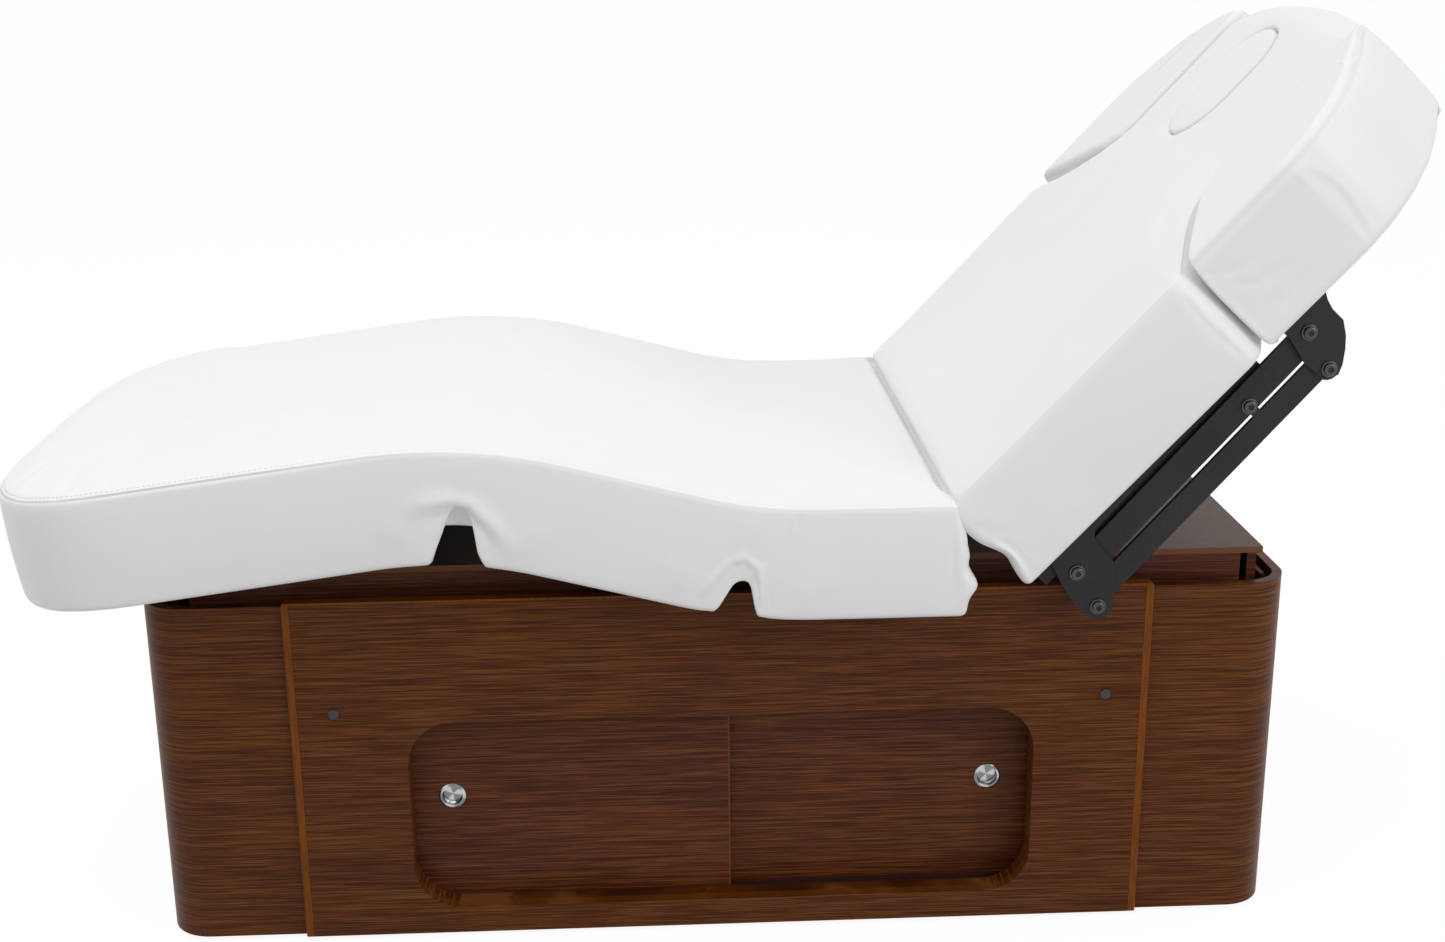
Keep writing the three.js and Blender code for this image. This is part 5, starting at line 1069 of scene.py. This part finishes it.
class TABLE_OT_backrest_cover(bpy.types.Operator):
    """Adds the backrest's cover with its shoulders, head and face hole"""
    bl_idname = "table.backrest_cover"
    bl_label = "Backrest cover"

    def execute(self, context):
        plan = back_stations()
        normals = plan_normals(plan)
        normals[0] = (-1, 0)
        normals[-1] = (1, 0)
        target, hole = back_targets(plan)
        spine = np.clip(plan[:, 0], SPINE_START, HEAD_END - 58)
        ref = np.linalg.norm(np.column_stack([spine, np.zeros(len(plan))]) - plan, axis=1)
        made = cover_rows(
            plan, target, normals, back_lower(plan), BACK_SEAM, sizes().crown / MM, 2.0,
            hole=hole, ref=ref, roll=1.6, seam_in=0.3, soften=4.5,
        )
        piece = skin("backrest_cover", made, back_place, hole=hole)

        def free(flat):
            x, z = flat[:, 0], flat[:, 2]
            return ((z > BACK_SEAM + 3) & (x > 30) & (x < 520)) | side_wall(flat, BACK_SEAM)

        points, flat = filled(piece, back_unplace, free, 3.0)
        wall = (np.abs(points[:, 1]) > HALF - 9) & (flat[:, 2] < BACK_SEAM + 4)
        drape(points, flat, BACK_LINES, wall)
        x, y, z = flat.T
        hollow = 12.0 * np.exp(-(((z + 56) / 27) ** 2)) * ease(1 - x / 30)
        dip = 8.0 * ease((26 - x) / 8) * ease((z - BACK_SEAM) / 5)
        outline = np.vstack([plan, plan[-1:] * np.array([1, -1])])
        inside = np.column_stack([x, np.abs(y)])
        away = np.linalg.norm(nearest_on(outline, inside) - inside, axis=1)
        rounder = ease((x - 330) / 100) * 0.7 * (1 - ease(away / 50))
        dip += np.clip(z - BACK_SEAM, 0, None) * rounder
        points[:, 0] += hollow * math.cos(BACK_TILT) + dip * math.sin(BACK_TILT)
        points[:, 2] += hollow * math.sin(BACK_TILT) - dip * math.cos(BACK_TILT)
        put_points(piece, head_reach(points, flat, 7.0))
        dress_cover(piece, "back", ("back_cushion", "head_cushion"))
        return {"FINISHED"}


def pad_outline():
    """Closed outline of the far pad, anticlockwise, from its shoulder tip."""
    start, step = 396.0, 172.5
    shares = (
        (0, 0), (0.085, 0.13), (0.24, 0.36), (0.43, 0.62), (0.62, 0.84), (0.81, 0.96), (1, 1),
    )
    shoulder = [(start + x * 138, HALF - y * step) for x, y in shares]
    tip = (748.0, 217.5)
    straight = 555.4
    shares = ((0, 0), (0.2, 0.045), (0.42, 0.17), (0.62, 0.36), (0.8, 0.62), (0.93, 0.86))
    rim = [(straight + x * (tip[0] - straight), HALF - y * 176.5) for x, y in shares]
    return smooth_loop(np.array(shoulder + [tip] + rim[::-1], float), 300, 8.0)


def smooth_loop(points, count, radius):
    """A closed polyline resampled evenly, its corners softened over a radius."""
    closed = np.vstack([points, points[:1]])
    run = lengths_along(closed)
    fine = 1200
    even = np.linspace(0, run[-1], fine, endpoint=False)
    dense = np.column_stack([np.interp(even, run, closed[:, k]) for k in range(2)])
    spread = radius / (run[-1] / fine)
    offsets = np.arange(-int(3 * spread), int(3 * spread) + 1)
    weights = np.exp(-((offsets / spread) ** 2))
    weights /= weights.sum()
    soft = sum(np.roll(dense, -o, axis=0) * w for o, w in zip(offsets, weights))
    return soft[np.linspace(0, fine, count, endpoint=False).astype(int)]


def loop_normals(points):
    """Outward normals of a closed outline, whichever way round it runs."""
    after = np.roll(points, -1, 0)
    normal = square_to(after - np.roll(points, 1, 0))
    area = np.sum(points[:, 0] * after[:, 1] - after[:, 0] * points[:, 1])
    return normal if area > 0 else -normal


def nearest_on(line, points):
    best = np.full(len(points), 1e9)
    out = np.zeros_like(points)
    for a, b in zip(line[:-1], line[1:]):
        ab = b - a
        t = np.clip(((points - a) @ ab) / max(ab @ ab, 1e-9), 0, 1)
        q = a + t[:, None] * ab
        d = np.linalg.norm(points - q, axis=1)
        closer = d < best
        best = np.where(closer, d, best)
        out[closer] = q[closer]
    return out


def loop_cover(name, outline, spine, seam, depth, *shape, **settings):
    """A closed padded block on its own outline: every station runs in to the spine."""
    target = nearest_on(np.array(spine, float), outline)
    zero = np.zeros(len(outline))
    lower = np.column_stack([zero, zero + seam - depth, zero])
    made = cover_rows(outline, target, loop_normals(outline), lower, seam, *shape, seam_in=0.2,
                      **settings)
    return skin(name, made, back_place, closed=True)


PAD_LINES = (
    (((400, 20), (432, -4), (470, -14)), 4.0, -0.9, 0.3),
    (((404, -4), (440, -34), (492, -46)), 5.0, -1.0, 0.35),
    (((410, -60), (452, -70), (500, -66)), 7.0, -0.8, 0.35),
    (((560, -90), (640, -60), (710, -40)), 26.0, 0.5, 0.4),
)


class TABLE_OT_arm_pads(bpy.types.Operator):
    """Adds the covers of the two arm pads"""
    bl_idname = "table.arm_pads"
    bl_label = "Arm pads"

    def execute(self, context):
        def free(flat):
            return (flat[:, 2] > BACK_SEAM + 4) | side_wall(flat, BACK_SEAM)

        outline = pad_outline()
        mid = (HALF + TONGUE) / 2
        for side, end in ((-1, "near"), (1, "far")):
            plan = outline * np.array([1, side])
            plan = plan if side > 0 else plan[::-1]
            spine = [(478.8, side * (mid + 8)), (610, side * mid), (679, side * (mid - 8))]
            piece = loop_cover(
                f"arm_pad_cover_{end}", plan, spine, BACK_SEAM, DEPTH, sizes().crown / MM * 0.8,
                1.6, edge=12.0, skirt=34.0, soften=3.5,
            )
            points, flat = filled(piece, back_unplace, free, 2.0)
            wall = ease((np.abs(points[:, 1]) - (HALF - 32)) / 26) * (flat[:, 2] < BACK_SEAM + 2)
            drape(points, flat, PAD_LINES, wall)
            put_points(piece, head_reach(points, flat, 11.0))
            dress_cover(piece, f"pad_{end}", [f"arm_pad_{end}"])
        return {"FINISHED"}


PLUG_SEAM = BACK_SEAM + 17.5
PLUG_DEPTH = 72.4


class TABLE_OT_face_plug(bpy.types.Operator):
    """Adds the cover of the plug in the face hole, with small puckers at its ends"""
    bl_idname = "table.face_plug"
    bl_label = "Face hole plug"

    def execute(self, context):
        x0, x1, radius = HOLE
        half = stadium_half(x0, x1, radius, 1.2, 18)
        loop = np.vstack([half, half[::-1][1:-1] * np.array([1, -1])])[::-1]
        outline = smooth_loop(loop, 180, 2.0)
        spine = [(x0 + radius, 0), (x1 - radius, 0)]
        piece = loop_cover(
            "face_plug_cover", outline, spine, PLUG_SEAM, PLUG_DEPTH, 7.5, 0.3, edge=4.0,
            skirt=20.0, under=PLUG_SEAM - PLUG_DEPTH + 1.0, soften=1.2,
        )
        points, flat = filled(
            piece, back_unplace, lambda flat: flat[:, 2] > PLUG_SEAM + 0.5, 2.0)
        x = flat[:, 0] - (x0 + x1) / 2
        angle = np.arctan2(flat[:, 1], x)
        rim = np.exp(-(((flat[:, 2] - (BACK_SEAM + 17)) / 5) ** 2))
        ends = np.clip((np.abs(x) - 50) / 36, 0, 1)
        pucker = -1.1 * rim * ends * (0.5 + 0.5 * np.cos(angle * 46))
        points[:, 0] -= pucker * math.sin(BACK_TILT)
        points[:, 2] += pucker * math.cos(BACK_TILT)
        put_points(piece, head_reach(points, flat, 7.0))
        dress_cover(piece, "face_plug", ["face_hole_plug"])
        return {"FINISHED"}


# Cabinet and metal

ENDS = ("foot", "head")
SIDES = ("near", "far")
# Where the front opening's cut face is in Y, and the width of an edging, in metres.
CUT_FACE = (-0.3105, -0.2975)
DOOR_EDGING = 0.0022
TOP_EDGING = 0.0012


class TABLE_OT_outer_cabinet(bpy.types.Operator):
    """Finishes the outer cabinet's panels, shells and edgings"""
    bl_idname = "table.outer_cabinet"
    bl_label = "Outer cabinet"

    def execute(self, context):
        c = colours()

        def cut_face(finish):
            """The face of the front opening, by its depth in the panel."""
            _, y, _ = finish.parts(finish.place())
            return (y > CUT_FACE[0]) * (y < CUT_FACE[1]) * 0.4

        finish_nodes(["end_shell_foot", "end_shell_head"], wood("shell_wood", c.wood))
        panel = wood("panel_wood", c.wood, edges=cut_face)
        finish_nodes(["front_panel", "back_panel"], panel)
        finish_nodes(["front_edging", "back_edging"], edging_wood())
        dull = wood("lining_wood", tint(c.wood, 0.8), "Y", streaks=0.7)
        finish_nodes(["floor_board", "storage_compartment"], dull)
        feet = [f"levelling_foot_{end}_{side}" for end in ENDS for side in SIDES]
        finish_nodes(feet, moulded("foot_rubber", c.rubber, 0.6))
        small = ["screw_cap_left", "screw_cap_right", "control_box", "mains_inlet"]
        finish_nodes(small, moulded("dark_plastic", c.plastic))
        return {"FINISHED"}


class TABLE_OT_doors(bpy.types.Operator):
    """Finishes the sliding doors, their tracks and the flush pulls"""
    bl_idname = "table.doors"
    bl_label = "Doors"

    def execute(self, context):
        c = colours()
        for name in ("door_left_panel", "door_right_panel"):
            low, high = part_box(name)

            def edges(finish, low=low, high=high):
                x, _, _ = finish.parts(finish.place())
                return (x < low.x + DOOR_EDGING) * 0.8 + (x > high.x - DOOR_EDGING) * 0.8

            ground = blend_colours(c.wood, c.inner, 0.45)
            finish_nodes([name], wood(f"{name}_wood", ground, edges=edges))
        track = moulded("track_plastic", c.wood_dark)
        finish_nodes(["door_track_lower", "door_track_upper"], track)
        for name in ("door_left_pull", "door_right_pull"):
            low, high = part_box(name)
            mid = (low + high) / 2
            # Painted reflection: light and dark wedges round each pull's middle.
            finish_nodes([name], chrome_painted_reflection(f"{name}_chrome", c.chrome, mid.x, mid.z))
        return {"FINISHED"}


class TABLE_OT_inner_cabinet(bpy.types.Operator):
    """Finishes the telescoping shroud and the inner cabinet"""
    bl_idname = "table.inner_cabinet"
    bl_label = "Inner cabinet"

    def execute(self, context):
        c = colours()
        body = wood("inner_wood", c.inner, streaks=0.8)
        parts = ("front_panel", "back_panel", "side_foot", "side_head")
        panels = [f"inner_{part}" for part in parts]
        finish_nodes(["shroud_middle", *panels], body)
        _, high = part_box("inner_top_panel")

        def edge(finish):
            _, _, z = finish.parts(finish.place())
            return (z < high.z - TOP_EDGING) * 0.8

        top = tuple(linear(v) for v in (112, 90, 88))
        finish_nodes(["inner_top_panel"], wood("inner_top_wood", top, "Y", streaks=0.5, edges=edge))
        return {"FINISHED"}


class TABLE_OT_steelwork(bpy.types.Operator):
    """Finishes the frames, columns, drives and the arm pads' linkage"""
    bl_idname = "table.steelwork"
    bl_label = "Steelwork"

    def execute(self, context):
        c = colours()
        black = powder_steel("black_steel", c.steel)
        names = [f"{part}_frame" for part in ("carriage", "seat", "thigh", "calf", "back")]
        names += [f"arm_{part}_{level}_{side}" for part in ("bracket", "link")
                  for level in ("lower", "upper") for side in SIDES]
        finish_nodes(["leg_link", *names], black)
        columns = [f"column_{part}_{end}" for part in ("outer", "middle", "inner") for end in ENDS]
        finish_nodes(columns, metal("zinc_steel", c.zinc, 0.34, (40, 40, 900)))
        rod = metal("rod_steel", c.zinc, 0.2, (900, 40, 40))
        finish_nodes(["back_drive_rod", "leg_drive_rod"], rod)
        housing = moulded("drive_plastic", c.plastic)
        finish_nodes(["back_drive_housing", "leg_drive_housing"], housing)
        return {"FINISHED"}


# The arm pads' links in the backrest's flat frame: the lower pivot, the bracket's second
# bolt from it, the links' length and tilt, the stop bolt's place along and square to them.
LINK_PIVOT = np.array([53.8, -147.9])
LINK_PAIR = np.array([-13.4, -50.5])
LINK_LENGTH = 391.5
LINK_TILT = math.radians(1.67)
STOP_PLACE = (283.0, -13.0)
PLATE_FACE = 353.3
LINK_FACE = 347.7


def cylinder(vertices, radius, depth, z):
    """Adds a cylinder with its middle at z, in metres, with nothing else selected."""
    deselect()
    bpy.ops.mesh.primitive_cylinder_add(
        vertices=vertices, radius=radius, depth=depth, location=(0, 0, z))
    return bpy.context.active_object


def button_bolt():
    """A button head with a hexagon socket on its washer, pointing up from the origin."""
    head = cylinder(36, 0.0078, 0.0048, 0.0039)
    applied(head, "BEVEL", width=0.0021, segments=4, limit_method="ANGLE")
    socket = cylinder(6, 0.0037, 0.005, 0.0063)
    applied(head, "BOOLEAN", operation="DIFFERENCE", object=socket, solver="EXACT")
    bpy.data.objects.remove(socket)
    washer = cylinder(40, 0.0099, 0.002, 0.001)
    applied(washer, "BEVEL", width=0.0006, segments=3, limit_method="ANGLE")
    chosen(head)
    washer.select_set(True)
    bpy.ops.object.join()
    bpy.ops.object.transform_apply(location=True, rotation=True, scale=True)
    bpy.ops.object.shade_smooth_by_angle(angle=math.radians(32))
    return head


class TABLE_OT_link_bolts(bpy.types.Operator):
    """Adds the socket-head bolts of the arm pads' linkage"""
    bl_idname = "table.link_bolts"
    bl_label = "Linkage bolts"

    def execute(self, context):
        pattern = button_bolt()
        black = metal("bolt_steel", tint(colours().zinc, 0.2), 0.2, (700, 700, 700))
        along = np.array([math.cos(LINK_TILT), math.sin(LINK_TILT)])
        square = np.array([-along[1], along[0]])
        far = LINK_PIVOT + LINK_LENGTH * along
        stop = LINK_PIVOT + STOP_PLACE[0] * along + STOP_PLACE[1] * square
        for side, end in ((-1, "near"), (1, "far")):
            places = (
                ("lower_one", LINK_PIVOT, PLATE_FACE, "back"),
                ("lower_two", LINK_PIVOT + LINK_PAIR, PLATE_FACE, "back"),
                ("upper_one", far, PLATE_FACE, f"pad_{end}"),
                ("upper_two", far + LINK_PAIR, PLATE_FACE, f"pad_{end}"),
                ("stop", stop, LINK_FACE, f"link_upper_{end}"),
            )
            for name, (s, t), face, body in places:
                centre = back_place(np.array([[s, side * face, t]]))[0] * MM
                bolt = bpy.data.objects.new(f"bolt_{name}_{end}", pattern.data.copy())
                context.scene.collection.objects.link(bolt)
                outward = Matrix.Rotation(math.radians(90 * -side), 4, "X")
                turn = Matrix.Rotation(0.4 + 0.7 * s, 4, "Z")
                bolt.data.transform(Matrix.Translation(centre) @ outward @ turn)
                dress(bolt, black)
                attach(bolt, body)
        bpy.data.objects.remove(pattern)
        return {"FINISHED"}


# Stage

# The camera of the photograph: its place, and its yaw, pitch and roll.
CAMERA_PLACE = (-0.08887, -2.40697, 1.2357)
CAMERA_TURN = (0.0432, 0.2861, -0.0092)
CAMERA_SHIFT = 0.00044
FOCAL_PIXELS = 1815.87
PHOTO_WIDTH = 1445


class TABLE_OT_stage(bpy.types.Operator):
    """Adds the pale floor, the soft studio light and the camera"""
    bl_idname = "table.stage"
    bl_label = "Stage"

    def execute(self, context):
        scene = context.scene
        deselect()
        bpy.ops.mesh.primitive_plane_add(size=120.0, location=(0, 0, 0))
        floor = context.active_object
        floor.name = "stage_floor"
        finish = Finish("stage_white")
        finish.set(base_color=(0.6, 0.6, 0.6), roughness=0.9, specular_ior_level=0.0)
        glow = finish.node("ShaderNodeEmission", None, {"Color": (1, 1, 1), "Strength": 1.18})
        camera, glossy, through = finish.rays("Camera", "Glossy", "Transmission")
        seen = (camera + glossy + through) * 0.78
        lit = Value(finish, finish.shader.outputs[0])
        values = {0: seen.sum("MINIMUM", seen, 0.78), 1: lit, 2: glow}
        mixed = finish.node("ShaderNodeMixShader", None, values)
        finish.feed(finish.tree.nodes["Material Output"].inputs[0], mixed)
        floor.data.materials.append(finish.owner)

        world = Finish("studio", "worlds")
        scene.world = world.owner
        camera, glossy, through = world.rays("Camera", "Glossy", "Transmission")
        seen = camera.sum("MAXIMUM", camera.sum("MAXIMUM", camera, through), glossy)
        level = world.node("ShaderNodeMapRange", None, {0: seen, 3: 0.5, 4: 1.0})
        ambient = world.tree.nodes["Background"].inputs
        world.feed(ambient["Color"], (1, 1, 1))
        world.feed(ambient["Strength"], level)

        def lamp(name, place, aim, width, power):
            data = bpy.data.lights.new(name, "AREA")
            data.shape = "SQUARE"
            data.size = width
            data.energy = power
            made = bpy.data.objects.new(name, data)
            made.location = place
            ahead = Vector(aim) - made.location
            made.rotation_euler = ahead.to_track_quat("-Z", "Y").to_euler()
            scene.collection.objects.link(made)

        lamp("lamp_over", (-1.3, -0.7, 4.0), (0.0, 0, 0.5), 3.8, 77.0)
        lamp("lamp_front", (3.1, -2.8, 2.0), (0.45, 0, 0.5), 2.0, 44.0)

        data = bpy.data.cameras.new("camera")
        data.sensor_width = 36.0
        data.lens = FOCAL_PIXELS / PHOTO_WIDTH * data.sensor_width
        data.shift_x = CAMERA_SHIFT
        camera = bpy.data.objects.new("camera", data)
        yaw, pitch, roll = CAMERA_TURN
        level = math.cos(pitch)
        forward = Vector((math.sin(yaw) * level, math.cos(yaw) * level, -math.sin(pitch)))
        level_right = Vector((math.cos(yaw), -math.sin(yaw), 0))
        level_up = level_right.cross(forward)
        right = level_right * math.cos(roll) + level_up * math.sin(roll)
        up = level_up * math.cos(roll) - level_right * math.sin(roll)
        turn = Matrix((right, up, -forward)).transposed().to_4x4()
        camera.matrix_world = Matrix.Translation(CAMERA_PLACE) @ turn
        scene.collection.objects.link(camera)
        scene.camera = camera
        scene.view_settings.view_transform = "Standard"
        return {"FINISHED"}


class TABLE_PT_panel(bpy.types.Panel):
    """Lists the steps that dress the table"""
    bl_label = "Treatment table"
    bl_idname = "TABLE_PT_panel"
    bl_space_type = "VIEW_3D"
    bl_region_type = "UI"
    bl_category = "Treatment table"

    def draw(self, context):
        column = self.layout.column()
        for group in (context.scene.table_sizes, context.scene.table_colours):
            for key in group.bl_rna.properties.keys():
                if key not in ("rna_type", "name"):
                    column.prop(group, key)
        for step in STEPS:
            column.operator(step.bl_idname)


STEPS = (
    TABLE_OT_stage,
    TABLE_OT_outer_cabinet,
    TABLE_OT_doors,
    TABLE_OT_inner_cabinet,
    TABLE_OT_steelwork,
    TABLE_OT_link_bolts,
    TABLE_OT_leg_cover,
    TABLE_OT_backrest_cover,
    TABLE_OT_arm_pads,
    TABLE_OT_face_plug,
)
CLASSES = (TableSizes, TableColours, *STEPS, TABLE_PT_panel)


def register():
    for kind in CLASSES:
        bpy.utils.register_class(kind)
    bpy.types.Scene.table_sizes = PointerProperty(type=TableSizes)
    bpy.types.Scene.table_colours = PointerProperty(type=TableColours)


def unregister():
    del bpy.types.Scene.table_sizes
    del bpy.types.Scene.table_colours
    for kind in reversed(CLASSES):
        bpy.utils.unregister_class(kind)


def main():
    register()
    for step in STEPS:
        group, name = step.bl_idname.split(".")
        getattr(getattr(bpy.ops, group), name)()


if __name__ == "__main__":
    main()
